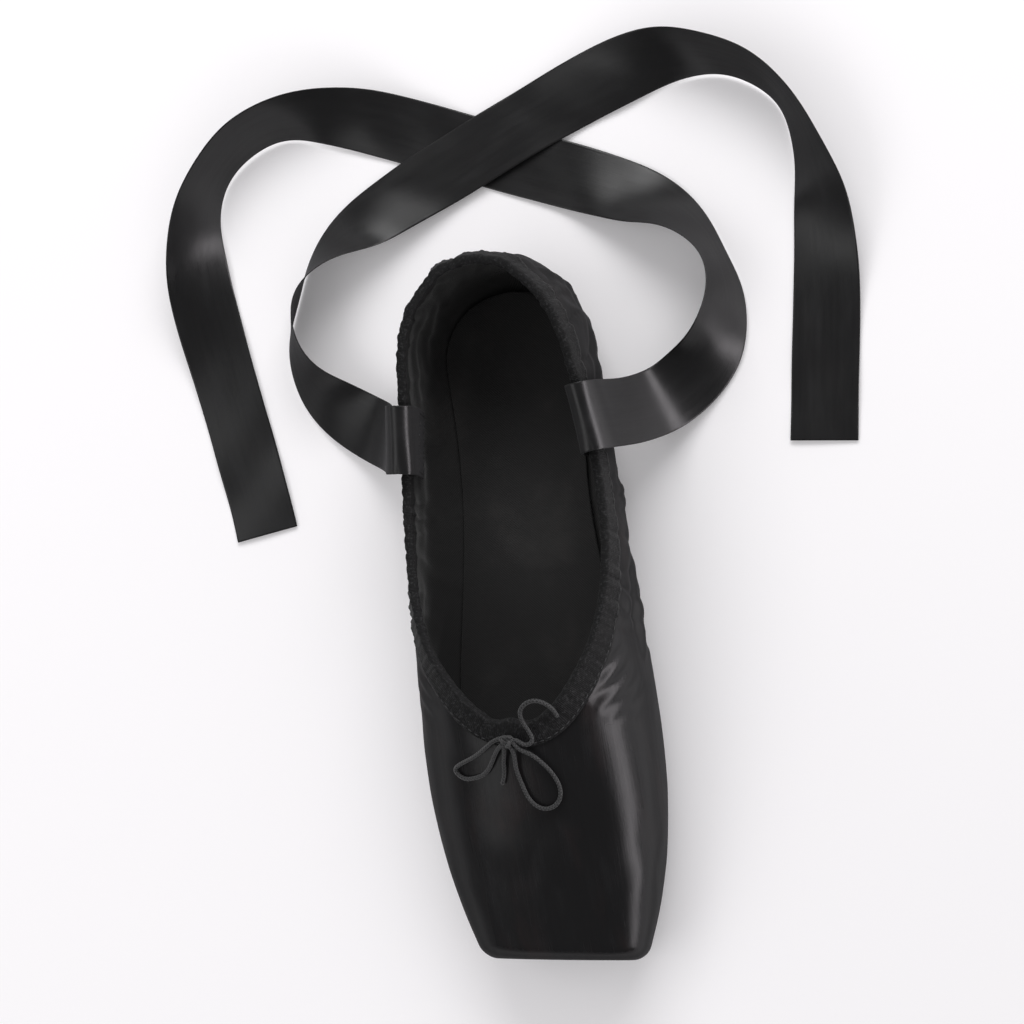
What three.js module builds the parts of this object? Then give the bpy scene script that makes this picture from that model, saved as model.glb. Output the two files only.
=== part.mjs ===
// A pointe shoe, empty and at rest on its sole, with its two ribbons lying loose on the floor.
// Millimetres. +Z is up, the toe points towards -Y and the big-toe side is +X. The shoe is straight
// lasted, so one table of sections serves both of its sides.
import * as THREE from 'three';
import { mergeVertices } from 'three/addons/utils/BufferGeometryUtils.js';

// ---- driving sizes ----
const LENGTH = 240;          // platform to the back of the heel
const TOE_ROUND = 4.5;       // radius of the edge round the platform
const TOE_TILT = 0.07;       // how far the platform leans back for each millimetre of height
const TOE_SKEW = 0.085;      // how much further the big-toe side reaches for each millimetre off the middle
const CENTRING = 0.65;       // moves the shoe along so that its middle is at the origin
const HEEL_START = 204;      // where the back of the shoe starts to close round the heel
const HEEL_TUCK = 5;         // how far the heel leans forward at the collar
const HEEL_BULGE = 22;       // height of the heel's furthest point
const HEEL_TOP = 55;         // height of the collar at the heel
const THROAT = 80;           // platform to the front of the throat
const WALL_BOX = 2.6;        // paste, canvas and satin round the toes
const WALL_QUARTER = 1.6;    // satin and canvas along the foot
const GAP = 0.3;             // room between pieces that meet
const SOLE_RISE = 3.6;       // height of the arch under the waist
const INSOLE_BOARD = 2;      // thickness of the insole
const LASTING_MARGIN = 6;    // how far the upper is turned in under the edge of the outsole
const BINDING_DEPTH = 7;     // width of the binding on each side of the collar edge
const BINDING_TAPE = 0.9;    // thickness of the binding with the drawstring inside it
const CORD = 1.4;            // diameter of the drawstring
const KNOT = 5;              // width of the drawstring's knot
const RIBBON_WIDTH = 23;
const RIBBON_THICK = 0.8;
const RIBBON_STEPS = 112;
const SOLE_FROM = 33;        // front of the outsole, behind the pleats
const SOLE_TO = 235;
const INSOLE_FROM = 12;
const INSOLE_TO = 229;
const OPENING_FROM = 46;     // where the upper opens underneath
const OPENING_TO = 224;

// Sections of the last's outer face. `at` is the distance from the platform, `half` the half width at
// the height `wide`, `under` and `crown` the bottom and top of the section. `low` and `top` say how
// square the section is below and above its widest line: 2 is an ellipse.
const LAST = [
  { at: 0, half: 27.5, under: 5.4, wide: 17.2, crown: 29.6, low: 2.9, top: 2.7 },
  { at: 14, half: 32.2, under: 4.5, wide: 17, crown: 34.6, low: 3.4, top: 2.6 },
  { at: 30, half: 36.2, under: 3.8, wide: 17, crown: 40, low: 3.8, top: 2.5 },
  { at: 50, half: 39.2, under: 3.4, wide: 17.4, crown: 46.2, low: 3.8, top: 2.4 },
  { at: 70, half: 40.2, under: 3.3, wide: 18, crown: 51.6, low: 3.6, top: 2.3 },
  { at: 80, half: 40.1, under: 3.3, wide: 18.4, crown: 54.2, low: 3.5, top: 2.25 },
  { at: 96, half: 39.4, under: 4, wide: 19.4, crown: 58.8, low: 3.2, top: 2.2 },
  { at: 120, half: 38, under: 6, wide: 21.6, crown: 67, low: 2.8, top: 2.1 },
  { at: 150, half: 36.2, under: 6.6, wide: 23.2, crown: 79, low: 2.7, top: 2 },
  { at: 180, half: 33.8, under: 4.4, wide: 22.6, crown: 89, low: 2.9, top: 2 },
  { at: 206, half: 31.4, under: 3.3, wide: 21.4, crown: 95, low: 3.2, top: 2 },
  { at: 240, half: 30.6, under: 3.3, wide: 21, crown: 98, low: 3.4, top: 2 },
];

// Height of the collar edge along the shoe, from the throat to the heel.
const COLLAR = [
  { at: 80, height: 54.2 },
  { at: 94, height: 53.4 },
  { at: 108, height: 50 },
  { at: 124, height: 45.2 },
  { at: 142, height: 41.6 },
  { at: 160, height: 41 },
  { at: 178, height: 43.2 },
  { at: 200, height: 48.6 },
  { at: 222, height: 53.4 },
  { at: 240, height: 55 },
];

// Half widths of the outsole and of the insole.
const OUTSOLE = [
  { at: 30, half: 22 },
  { at: 50, half: 26.5 },
  { at: 74, half: 28 },
  { at: 100, half: 24 },
  { at: 140, half: 17 },
  { at: 175, half: 18.5 },
  { at: 206, half: 22 },
  { at: 240, half: 22 },
];
const INSOLE = [
  { at: 10, half: 21 },
  { at: 35, half: 27 },
  { at: 70, half: 31 },
  { at: 100, half: 29 },
  { at: 145, half: 23 },
  { at: 180, half: 22.5 },
  { at: 206, half: 24 },
  { at: 240, half: 24 },
];

// Routes of the two ribbons, big-toe side first. Each row is a point of the middle line: `lift` is the
// height of the ribbon's lower edge, `heading` the direction it runs in seen from above, and `roll`
// how far it has turned from lying flat towards standing on its edge, both in degrees.
const RIBBON_MEDIAL = [
  { x: 30.6, y: 58, lift: 24, heading: 6, roll: 0 },
  { x: 28.9, y: 58, lift: 33, heading: 6, roll: 2 },
  { x: 27.8, y: 58, lift: 40.6, heading: 6, roll: 6 },
  { x: 29, y: 58, lift: 45.8, heading: 6, roll: 11 },
  { x: 32.6, y: 58.4, lift: 47.2, heading: 7, roll: 12 },
  { x: 36.4, y: 58.9, lift: 44, heading: 8, roll: 12 },
  { x: 39.2, y: 59.8, lift: 35, heading: 10, roll: 12 },
  { x: 42, y: 61, lift: 24, heading: 14, roll: 12 },
  { x: 46, y: 63, lift: 13, heading: 20, roll: 13 },
  { x: 52.4, y: 66.4, lift: 4.8, heading: 28, roll: 15 },
  { x: 61, y: 72.4, lift: 1.3, heading: 42, roll: 23 },
  { x: 70.6, y: 82.6, lift: 0.7, heading: 59, roll: 44 },
  { x: 75.6, y: 97, lift: 0.6, heading: 85, roll: 66 },
  { x: 73.4, y: 112, lift: 0.6, heading: 112, roll: 74 },
  { x: 64, y: 125.6, lift: 0.6, heading: 136, roll: 58 },
  { x: 48.6, y: 136, lift: 0.6, heading: 151, roll: 27 },
  { x: 28.4, y: 145.6, lift: 0.6, heading: 156, roll: 5 },
  { x: 5, y: 155.4, lift: 0.6, heading: 157, roll: 0 },
  { x: -18.6, y: 165.6, lift: 0.6, heading: 157, roll: -2 },
  { x: -42, y: 175, lift: 0.6, heading: 162, roll: -18 },
  { x: -65.6, y: 180.6, lift: 0.6, heading: 178, roll: -48 },
  { x: -88.4, y: 177, lift: 0.6, heading: 205, roll: -70 },
  { x: -105, y: 162.4, lift: 0.6, heading: 236, roll: -72 },
  { x: -112.4, y: 141, lift: 0.6, heading: 260, roll: -52 },
  { x: -112.6, y: 117.6, lift: 0.6, heading: 274, roll: -20 },
  { x: -109, y: 94, lift: 0.6, heading: 280, roll: -3 },
  { x: -104.4, y: 70.6, lift: 0.6, heading: 281, roll: 0 },
  { x: -100, y: 47.6, lift: 0.6, heading: 280, roll: 0 },
  { x: -98.2, y: 36, lift: 0.6, heading: 280, roll: 0 },
];
const RIBBON_LATERAL = [
  { x: -30.6, y: 58, lift: 24, heading: 174, roll: 0 },
  { x: -28.9, y: 58, lift: 33, heading: 174, roll: -2 },
  { x: -27.8, y: 58, lift: 40.6, heading: 174, roll: -6 },
  { x: -29, y: 58, lift: 45.8, heading: 174, roll: -11 },
  { x: -32.6, y: 58.4, lift: 47, heading: 173, roll: -12 },
  { x: -36.4, y: 59, lift: 43.6, heading: 172, roll: -12 },
  { x: -39.4, y: 60.2, lift: 34.4, heading: 170, roll: -12 },
  { x: -42.4, y: 61.6, lift: 23.4, heading: 166, roll: -12 },
  { x: -46.6, y: 63.8, lift: 12.4, heading: 160, roll: -13 },
  { x: -53.4, y: 67.6, lift: 4.4, heading: 151, roll: -15 },
  { x: -63, y: 74.4, lift: 1.3, heading: 138, roll: -23 },
  { x: -73.4, y: 85.6, lift: 0.7, heading: 120, roll: -44 },
  { x: -78.4, y: 101, lift: 0.6, heading: 94, roll: -66 },
  { x: -75.6, y: 117, lift: 0.6, heading: 66, roll: -74 },
  { x: -65.6, y: 130.4, lift: 0.7, heading: 43, roll: -56 },
  { x: -50, y: 140.6, lift: 1.1, heading: 29, roll: -24 },
  { x: -30, y: 150.4, lift: 2.2, heading: 25, roll: -4 },
  { x: -7, y: 160.4, lift: 2.7, heading: 23, roll: 0 },
  { x: 16.6, y: 170.4, lift: 1.8, heading: 21, roll: 2 },
  { x: 40.4, y: 178.6, lift: 0.7, heading: 14, roll: 18 },
  { x: 64.6, y: 182.4, lift: 0.6, heading: -2, roll: 48 },
  { x: 87, y: 176.6, lift: 0.6, heading: -29, roll: 70 },
  { x: 102.6, y: 161, lift: 0.6, heading: -59, roll: 72 },
  { x: 109.6, y: 139.6, lift: 0.6, heading: -80, roll: 52 },
  { x: 110.6, y: 116, lift: 0.6, heading: -91, roll: 20 },
  { x: 108.4, y: 92.4, lift: 0.6, heading: -96, roll: 3 },
  { x: 105.4, y: 69, lift: 0.6, heading: -97, roll: 0 },
  { x: 102.6, y: 45.6, lift: 0.6, heading: -97, roll: 0 },
];

// Routes of the drawstring's bow, which lies on the vamp in front of the throat. `lift` is the height
// of the cord's middle above the satin.
const LOOP_LONG = [
  { x: -1.2, y: -47.9, lift: 2.8 },
  { x: -1.2, y: -53.2, lift: 1.9 },
  { x: -0.2, y: -59, lift: 1.3 },
  { x: 1.6, y: -64, lift: 1.3 },
  { x: 5.2, y: -66.9, lift: 1.3 },
  { x: 9.6, y: -66, lift: 1.3 },
  { x: 12, y: -62, lift: 1.3 },
  { x: 11, y: -56.6, lift: 1.3 },
  { x: 7.6, y: -51.8, lift: 1.7 },
  { x: 4, y: -48.8, lift: 2.4 },
  { x: 0.7, y: -46.8, lift: 3 },
];
const LOOP_SHORT = [
  { x: -5.4, y: -44, lift: 3 },
  { x: -10.6, y: -47, lift: 2.5 },
  { x: -16.4, y: -50.4, lift: 1.6 },
  { x: -21, y: -52.4, lift: 1.3 },
  { x: -23.2, y: -54.4, lift: 1.3 },
  { x: -21.4, y: -56.6, lift: 1.3 },
  { x: -16.8, y: -57, lift: 1.3 },
  { x: -12.4, y: -55.4, lift: 1.3 },
  { x: -9, y: -51.4, lift: 1.8 },
  { x: -5.6, y: -46.9, lift: 2.9 },
];
const END_LONG = [
  { x: 0.6, y: -44.4, lift: 3.2 },
  { x: 3.4, y: -45.9, lift: 2.8 },
  { x: 5.6, y: -45, lift: 2.5 },
  { x: 5.4, y: -42, lift: 2.6 },
  { x: 4, y: -38.6, lift: 3.2 },
  { x: 3.8, y: -35.6, lift: 4.2 },
  { x: 6, y: -32.8, lift: 4.9 },
  { x: 9.4, y: -31.8, lift: 4.9 },
  { x: 12.6, y: -33, lift: 4.1 },
  { x: 14.6, y: -35.6, lift: 2.8 },
  { x: 15.2, y: -37.2, lift: 2.5 },
];
const END_SHORT = [
  { x: -3.6, y: -47.9, lift: 2.8 },
  { x: -5, y: -51.2, lift: 1.8 },
  { x: -5.6, y: -55, lift: 1.3 },
  { x: -7, y: -59, lift: 1.3 },
];
const KNOT_PLACE = { x: -2.4, y: -44.6, lift: 3.4 };

// ---- shared helpers ----

/** Natural cubic spline through the points (xs, ys). */
function spline(xs, ys) {
  const count = xs.length;
  const bend = new Array(count).fill(0);
  const carried = new Array(count).fill(0);
  for (let i = 1; i < count - 1; i += 1) {
    const share = (xs[i] - xs[i - 1]) / (xs[i + 1] - xs[i - 1]);
    const pivot = share * bend[i - 1] + 2;
    const ahead = (ys[i + 1] - ys[i]) / (xs[i + 1] - xs[i]);
    const behind = (ys[i] - ys[i - 1]) / (xs[i] - xs[i - 1]);
    bend[i] = (share - 1) / pivot;
    carried[i] = ((6 * (ahead - behind)) / (xs[i + 1] - xs[i - 1]) - share * carried[i - 1]) / pivot;
  }
  bend[count - 1] = 0;
  for (let i = count - 2; i >= 0; i -= 1) {
    bend[i] = bend[i] * bend[i + 1] + carried[i];
  }
  return (x) => {
    let i = 0;
    while (i < count - 2 && x > xs[i + 1]) i += 1;
    const step = xs[i + 1] - xs[i];
    const a = (xs[i + 1] - x) / step;
    const b = 1 - a;
    const curl = (a ** 3 - a) * bend[i] + (b ** 3 - b) * bend[i + 1];
    return a * ys[i] + b * ys[i + 1] + (curl * step * step) / 6;
  };
}

/** One named column of a table as a smooth function of the distance from the platform. */
const column = (rows, name) => spline(rows.map((row) => row.at), rows.map((row) => row[name]));

const signedPower = (value, power) => Math.sign(value) * Math.abs(value) ** power;
const blend = (from, to, share) => from + (to - from) * Math.min(1, Math.max(0, share));
const smooth = (share) => share * share * (3 - 2 * share);
const ease = (from, to, x) => smooth(Math.min(1, Math.max(0, (x - from) / (to - from))));

/** Triangles of a flat list of corner points, merged into one indexed geometry. */
function merged(points) {
  const loose = new THREE.BufferGeometry().setFromPoints(points);
  const joined = mergeVertices(loose, 1e-3);
  const index = joined.getIndex().array;
  const kept = [];
  for (let i = 0; i < index.length; i += 3) {
    const [a, b, c] = [index[i], index[i + 1], index[i + 2]];
    if (a !== b && b !== c && c !== a) kept.push(a, b, c);
  }
  joined.setIndex(kept);
  return joined;
}

/** Corner points of the two triangles of each cell between neighbouring rows of points. */
function gridTriangles(rows, closed = false) {
  const points = [];
  for (let i = 0; i + 1 < rows.length; i += 1) {
    const [here, next] = [rows[i], rows[i + 1]];
    const cells = closed ? here.length : here.length - 1;
    for (let j = 0; j < cells; j += 1) {
      const k = (j + 1) % here.length;
      points.push(here[j], next[k], next[j], here[j], here[k], next[k]);
    }
  }
  return points;
}

/** The same triangles on the other side of the shoe. */
function mirrored(points) {
  const flipped = [];
  for (let i = 0; i < points.length; i += 3) {
    const [a, b, c] = [points[i], points[i + 2], points[i + 1]];
    for (const p of [a, b, c]) flipped.push(new THREE.Vector3(-p.x, p.y, p.z));
  }
  return flipped;
}

/** Flat fan over a convex ring, facing the way that the ring turns. */
function fan(ring) {
  const points = [];
  for (let j = 1; j + 1 < ring.length; j += 1) points.push(ring[0], ring[j], ring[j + 1]);
  return points;
}

/** A named mesh with its own finish, drawn out towards the big toe as the whole front of the shoe is. */
function piece(name, geometry, color, roughness, metalness = 0) {
  const place = geometry.getAttribute('position');
  for (let i = 0; i < place.count; i += 1) {
    const front = 1 - ease(60, 150, place.getY(i) + LENGTH / 2);
    place.setY(i, place.getY(i) - TOE_SKEW * place.getX(i) * front + CENTRING);
  }
  geometry.computeVertexNormals();
  const mesh = new THREE.Mesh(geometry, new THREE.MeshStandardMaterial({ color, roughness, metalness }));
  mesh.name = name;
  return mesh;
}

// ---- the last ----

const last = {};
for (const name of ['half', 'under', 'wide', 'crown', 'low', 'top']) last[name] = column(LAST, name);
const collarHeight = column(COLLAR, 'height');
const outsoleHalf = column(OUTSOLE, 'half');
const insoleHalf = column(INSOLE, 'half');

const HEEL_REACH = LENGTH - HEEL_START;
const LAST_END = HEEL_START + (HEEL_REACH * Math.PI) / 2;

/** Section at a station. Past HEEL_START the station is an arc length round the heel. */
function section(station) {
  const turn = Math.max(0, station - HEEL_START) / HEEL_REACH;
  const at = turn > 0 ? HEEL_START + HEEL_REACH * Math.sin(turn) : station;
  const form = { at };
  for (const name of Object.keys(last)) form[name] = last[name](at);
  const lift = 1 - (1 - Math.abs(Math.sin(turn)) ** 8) ** (1 / 8);
  form.half *= Math.cos(turn);
  form.under = blend(form.under, form.wide, lift);
  if (at < TOE_ROUND) {
    const inset = TOE_ROUND - Math.sqrt(TOE_ROUND ** 2 - (TOE_ROUND - at) ** 2);
    form.half -= inset;
    form.under += inset;
    form.crown -= inset;
  }
  return form;
}

/** Lengthwise place of a point: the platform leans back and the heel leans forward as they rise. */
function lengthwise(at, height) {
  const toe = TOE_TILT * (height - last.under(0)) * (1 - ease(0, 60, at));
  const heel = -HEEL_TUCK * ((height - HEEL_BULGE) / (HEEL_TOP - HEEL_BULGE)) ** 2 * ease(170, LENGTH, at);
  return at - LENGTH / 2 + toe + heel;
}

/** Point of the outer face. The angle runs from -90 under the foot, by 0 at the widest, to 90 on top. */
function onLast(station, angle) {
  const form = section(station);
  const upper = angle >= 0;
  const power = 2 / (upper ? form.top : form.low);
  const reach = upper ? form.crown - form.wide : form.wide - form.under;
  const height = form.wide + reach * signedPower(Math.sin(angle), power);
  const off = form.half * signedPower(Math.cos(angle), power);
  return new THREE.Vector3(off, lengthwise(form.at, height), height);
}

/** Outward normal of the outer face, from small steps to each side. */
function outward(station, angle) {
  const along = onLast(station + 0.05, angle).sub(onLast(station - 0.05, angle));
  const around = onLast(station, angle + 0.002).sub(onLast(station, angle - 0.002));
  return along.cross(around).normalize();
}

/** Height of the outer face under the foot, off the middle by x. */
function underside(at, x) {
  const form = section(at);
  const share = Math.min(1, Math.abs(x) / form.half);
  return form.wide - (form.wide - form.under) * (1 - share ** form.low) ** (1 / form.low);
}

/** Angle of the collar edge; 90 degrees wherever the top is closed. */
function collarAngle(station) {
  if (station <= THROAT) return Math.PI / 2;
  const form = section(station);
  const share = (collarHeight(form.at) - form.wide) / (form.crown - form.wide);
  return Math.asin(Math.min(1, share ** (form.top / 2)));
}

/** Angle at which the turned-in margin begins, under the edge of the outsole. */
function marginAngle(station) {
  const { at, half, low } = section(station);
  return -Math.acos(Math.min(0.7, outsoleHalf(at) / Math.max(half, 1)) ** (low / 2));
}

/** Angle of the edge that is turned in under the foot; -90 degrees wherever the underside is closed. */
function openingAngle(station) {
  const { at, half, low } = section(station);
  if (at <= OPENING_FROM || at >= OPENING_TO) return -Math.PI / 2;
  const off = (2 * at - OPENING_FROM - OPENING_TO) / (OPENING_TO - OPENING_FROM);
  const open = (outsoleHalf(at) - LASTING_MARGIN) * (1 - Math.abs(off) ** 16) ** (1 / 16);
  return -Math.acos((open / half) ** (low / 2));
}

const wallAt = (y) => blend(WALL_BOX, WALL_QUARTER, ease(70, 110, y + LENGTH / 2));

/** Stations of the upper: close together round the platform, at each opening's ends and at the heel. */
function stations() {
  const toe = [0, 0.35, 1.3, 2.7, TOE_ROUND];
  const box = [11, 18, 26, 34, 40, OPENING_FROM, OPENING_FROM + 0.3, OPENING_FROM + 2, 56, 64, 72];
  const throat = [0, 0.4, 1.6, 3.6, 6.4, 10, 14.5, 20].map((step) => THROAT + step);
  const waist = Array.from({ length: 12 }, (_, i) => 108 + i * 8);
  const heel = Array.from({ length: 9 }, (_, i) => blend(HEEL_START, LAST_END, i / 8));
  const closing = HEEL_START + HEEL_REACH * Math.asin((OPENING_TO - HEEL_START) / HEEL_REACH);
  return [...toe, ...box, ...throat, ...waist, ...heel, closing - 0.4, closing].sort((a, b) => a - b);
}

/** Points at even distances along the outer face between two angles of one station. */
function evenly(station, from, to, count) {
  const fine = Array.from({ length: 97 }, (_, i) => onLast(station, blend(from, to, i / 96)));
  const run = [0];
  for (let i = 1; i < fine.length; i += 1) run.push(run[i - 1] + fine[i].distanceTo(fine[i - 1]));
  return Array.from({ length: count + 1 }, (_, k) => {
    const goal = (run[96] * k) / count;
    let i = 1;
    while (i < 96 && run[i] < goal) i += 1;
    const share = run[i] > run[i - 1] ? (goal - run[i - 1]) / (run[i] - run[i - 1]) : 0;
    return fine[i - 1].clone().lerp(fine[i], share);
  });
}

/** Outer face of the upper on the big-toe side, from the platform's middle to the back of the heel. */
function upperFace() {
  const rows = stations().map((station) => [
    ...evenly(station, collarAngle(station), 0, 7),
    ...evenly(station, 0, marginAngle(station), 6).slice(1),
    ...evenly(station, marginAngle(station), openingAngle(station), 2).slice(1),
  ]);
  const middle = new THREE.Vector3(0, lengthwise(0, last.wide(0)), last.wide(0));
  const face = [0, 0.35, 0.7].map((share) => rows[0].map((p) => middle.clone().lerp(p, share)));
  return gridTriangles([...face, ...rows]);
}

/** A face given a wall: a copy is set in along its normals, and each open edge is closed with a rim. */
function walled(face, wall) {
  face.computeVertexNormals();
  const index = [...face.getIndex().array];
  const outer = face.getAttribute('position');
  const normal = face.getAttribute('normal');
  const places = Array.from(outer.array);
  const count = outer.count;
  for (let i = 0; i < count; i += 1) {
    const point = new THREE.Vector3().fromBufferAttribute(outer, i);
    const away = new THREE.Vector3().fromBufferAttribute(normal, i);
    if (Math.abs(point.x) < 1e-3) away.setX(0).normalize();
    point.addScaledVector(away, -wall(point.y));
    places.push(point.x, point.y, point.z);
  }
  const corners = [...index];
  const open = new Map();
  for (let i = 0; i < index.length; i += 3) {
    corners.push(count + index[i], count + index[i + 2], count + index[i + 1]);
    for (let j = 0; j < 3; j += 1) {
      const [a, b] = [index[i + j], index[i + ((j + 1) % 3)]];
      if (!open.delete(`${b},${a}`)) open.set(`${a},${b}`, [a, b]);
    }
  }
  for (const [a, b] of open.values()) corners.push(b, a, count + a, b, count + a, count + b);
  const solid = new THREE.BufferGeometry();
  solid.setAttribute('position', new THREE.Float32BufferAttribute(places, 3));
  solid.setIndex(corners);
  return solid;
}

/** The upper: one wall, open at the throat and collar and under the foot. */
function upper() {
  const half = upperFace();
  return walled(merged([...half, ...mirrored(half)]), wallAt);
}

// ---- outsole and insole ----

/** Ring of a plate across the foot: along its top from left to right and back along its bottom. */
function plateRing(at, half, top, bottom) {
  const across = [-1, -0.88, -0.6, 0, 0.6, 0.88, 1];
  const point = (u, height) => new THREE.Vector3(u * half, at - LENGTH / 2, height);
  return [...across.map((u) => point(u, top(u))), ...across.map((u) => point(u, bottom(u))).reverse()];
}

/** A plate under or in the foot, with rounded ends. `top` and `bottom` are heights at (at, x, u). */
function plate({ from, to, front, back, half, top, bottom }) {
  const rings = Array.from({ length: 27 }, (_, i) => {
    const at = from + ((to - from) * (1 - Math.cos((Math.PI * i) / 26))) / 2;
    const nose = Math.max(0, (from + front - at) / front);
    const tail = Math.max(0, (at - to + back) / back);
    const width = half(at) * (1 - nose ** 2.6) ** (1 / 2.6) * (1 - tail ** 2.2) ** (1 / 2.2);
    const height = (side) => (u) => side(at, u * width, u);
    return plateRing(at, width, height(top), height(bottom));
  });
  return merged(gridTriangles(rings, true));
}

/** Height of the floor side of the outsole: flat under the forefoot and the heel, arched between. */
const archRise = (at) => SOLE_RISE * Math.sin(Math.PI * Math.min(1, Math.max(0, (at - 92) / 104))) ** 2;
const toeSpring = (at) => 1.6 * (1 - ease(28, 56, at));

function outsole() {
  return plate({
    from: SOLE_FROM,
    to: SOLE_TO,
    front: 14,
    back: 24,
    half: outsoleHalf,
    top: (at, x) => underside(at, x) - GAP,
    bottom: (at, x, u) => archRise(at) + toeSpring(at) + 0.9 * ease(0.88, 1, Math.abs(u)),
  });
}

function insole() {
  const bed = (at, x) => {
    const room = 1.6 * GAP + 0.5 * ease(214, INSOLE_TO, at);
    return underside(at, x * 1.04) + wallAt(at - LENGTH / 2) + room;
  };
  return plate({
    from: INSOLE_FROM,
    to: INSOLE_TO,
    front: 18,
    back: 26,
    half: insoleHalf,
    top: (at, x, u) => bed(at, x) + INSOLE_BOARD * (1 - 0.5 * u ** 4),
    bottom: bed,
  });
}

// ---- collar binding ----

/** Direction of the collar edge at a station. It runs straight across at the throat and at the heel. */
function collarTangent(station) {
  const step = Math.min(0.2, (station - THROAT) / 2, (LAST_END - station) / 2);
  if (step < 1e-6) return new THREE.Vector3(station > HEEL_START ? -1 : 1, 0, 0);
  const [behind, ahead] = [station - step, station + step].map((s) => onLast(s, collarAngle(s)));
  return ahead.sub(behind).normalize();
}

/** Ring of the binding at a station: a folded tape that takes the collar edge between its two sides. */
function bindingRing(station) {
  const angle = collarAngle(station);
  const tangent = collarTangent(station);
  const feet = [{ point: onLast(station, angle), normal: outward(station, angle) }];
  let [s, a] = [station, angle];
  for (let i = 0; i < 2; i += 1) {
    const { point, normal } = feet[feet.length - 1];
    const down = tangent.clone().cross(normal).normalize();
    const goal = point.clone().addScaledVector(down, BINDING_DEPTH / 2);
    for (let pass = 0; pass < 4; pass += 1) {
      const here = onLast(s, a);
      const off = goal.clone().sub(here);
      const along = onLast(s + 0.05, a).sub(onLast(s - 0.05, a)).multiplyScalar(10);
      const around = onLast(s, a + 0.002).sub(onLast(s, a - 0.002)).multiplyScalar(250);
      const [aa, ab, bb] = [along.dot(along), along.dot(around), around.dot(around)];
      const det = aa * bb - ab * ab;
      s += (off.dot(along) * bb - off.dot(around) * ab) / det;
      a += (off.dot(around) * aa - off.dot(along) * ab) / det;
    }
    feet.push({ point: onLast(s, a), normal: outward(s, a) });
  }
  const place = (i, off, rise = 0) => {
    const { point, normal } = feet[i];
    const down = tangent.clone().cross(normal).normalize();
    const out = off > 0 ? off : off - GAP - wallAt(point.y);
    return point.clone().addScaledVector(normal, out).addScaledVector(down, -rise);
  };
  const [near, far] = [GAP, GAP + BINDING_TAPE];
  return [
    place(1, near), place(0, near, 2 * near), place(0, -near, 2 * near), place(1, -near),
    place(2, -near), place(2, -far), place(1, -far), place(0, -far),
    place(0, -far * 0.6, far), place(0, far * 0.6, far), place(0, far), place(1, far),
    place(2, far), place(2, near),
  ];
}

function collarBinding() {
  const rings = stations().filter((s) => s >= THROAT).map(bindingRing);
  for (const end of [rings[0], rings[rings.length - 1]]) end.forEach((p) => p.setX(0));
  const half = gridTriangles(rings, true);
  return merged([...half, ...mirrored(half)]);
}

// ---- drawstring bow ----

/** Point above the satin of the vamp, or above where it would be over the throat. */
function overVamp({ x, y, lift }) {
  const form = section(y + LENGTH / 2);
  const rise = (1 - Math.abs(x / form.half) ** form.top) ** (1 / form.top);
  return new THREE.Vector3(x, y, form.wide + (form.crown - form.wide) * rise + lift);
}

/** Round cord along a short list of points, as an extruded eight-sided section. */
function cord(route) {
  const path = new THREE.CatmullRomCurve3(route.map(overVamp), false, 'centripetal');
  const sides = Array.from({ length: 8 }, (_, i) => {
    const turn = (i * Math.PI) / 4;
    return new THREE.Vector2((Math.cos(turn) * CORD) / 2, (Math.sin(turn) * CORD) / 2);
  });
  const steps = Math.max(6, Math.round(path.getLength() / (1.9 * CORD)));
  const tube = new THREE.ExtrudeGeometry(new THREE.Shape(sides), { steps, extrudePath: path });
  tube.deleteAttribute('normal');
  tube.deleteAttribute('uv');
  return mergeVertices(tube, 1e-3);
}

/** The knot: a flattened ball turned round an upright line. */
function knot() {
  const profile = Array.from({ length: 7 }, (_, i) => {
    const turn = -Math.PI / 2 + (i * Math.PI) / 6;
    return new THREE.Vector2((Math.cos(turn) * KNOT) / 2, Math.sin(turn) * KNOT * 0.36);
  });
  profile[0].x = 0;
  profile[6].x = 0;
  const ball = new THREE.LatheGeometry(profile, 12).rotateX(Math.PI / 2).translate(...overVamp(KNOT_PLACE));
  ball.deleteAttribute('normal');
  ball.deleteAttribute('uv');
  const corners = ball.getIndex().array;
  const place = ball.getAttribute('position');
  return merged([...corners].map((i) => new THREE.Vector3().fromBufferAttribute(place, i)));
}

// ---- ribbons ----

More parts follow.
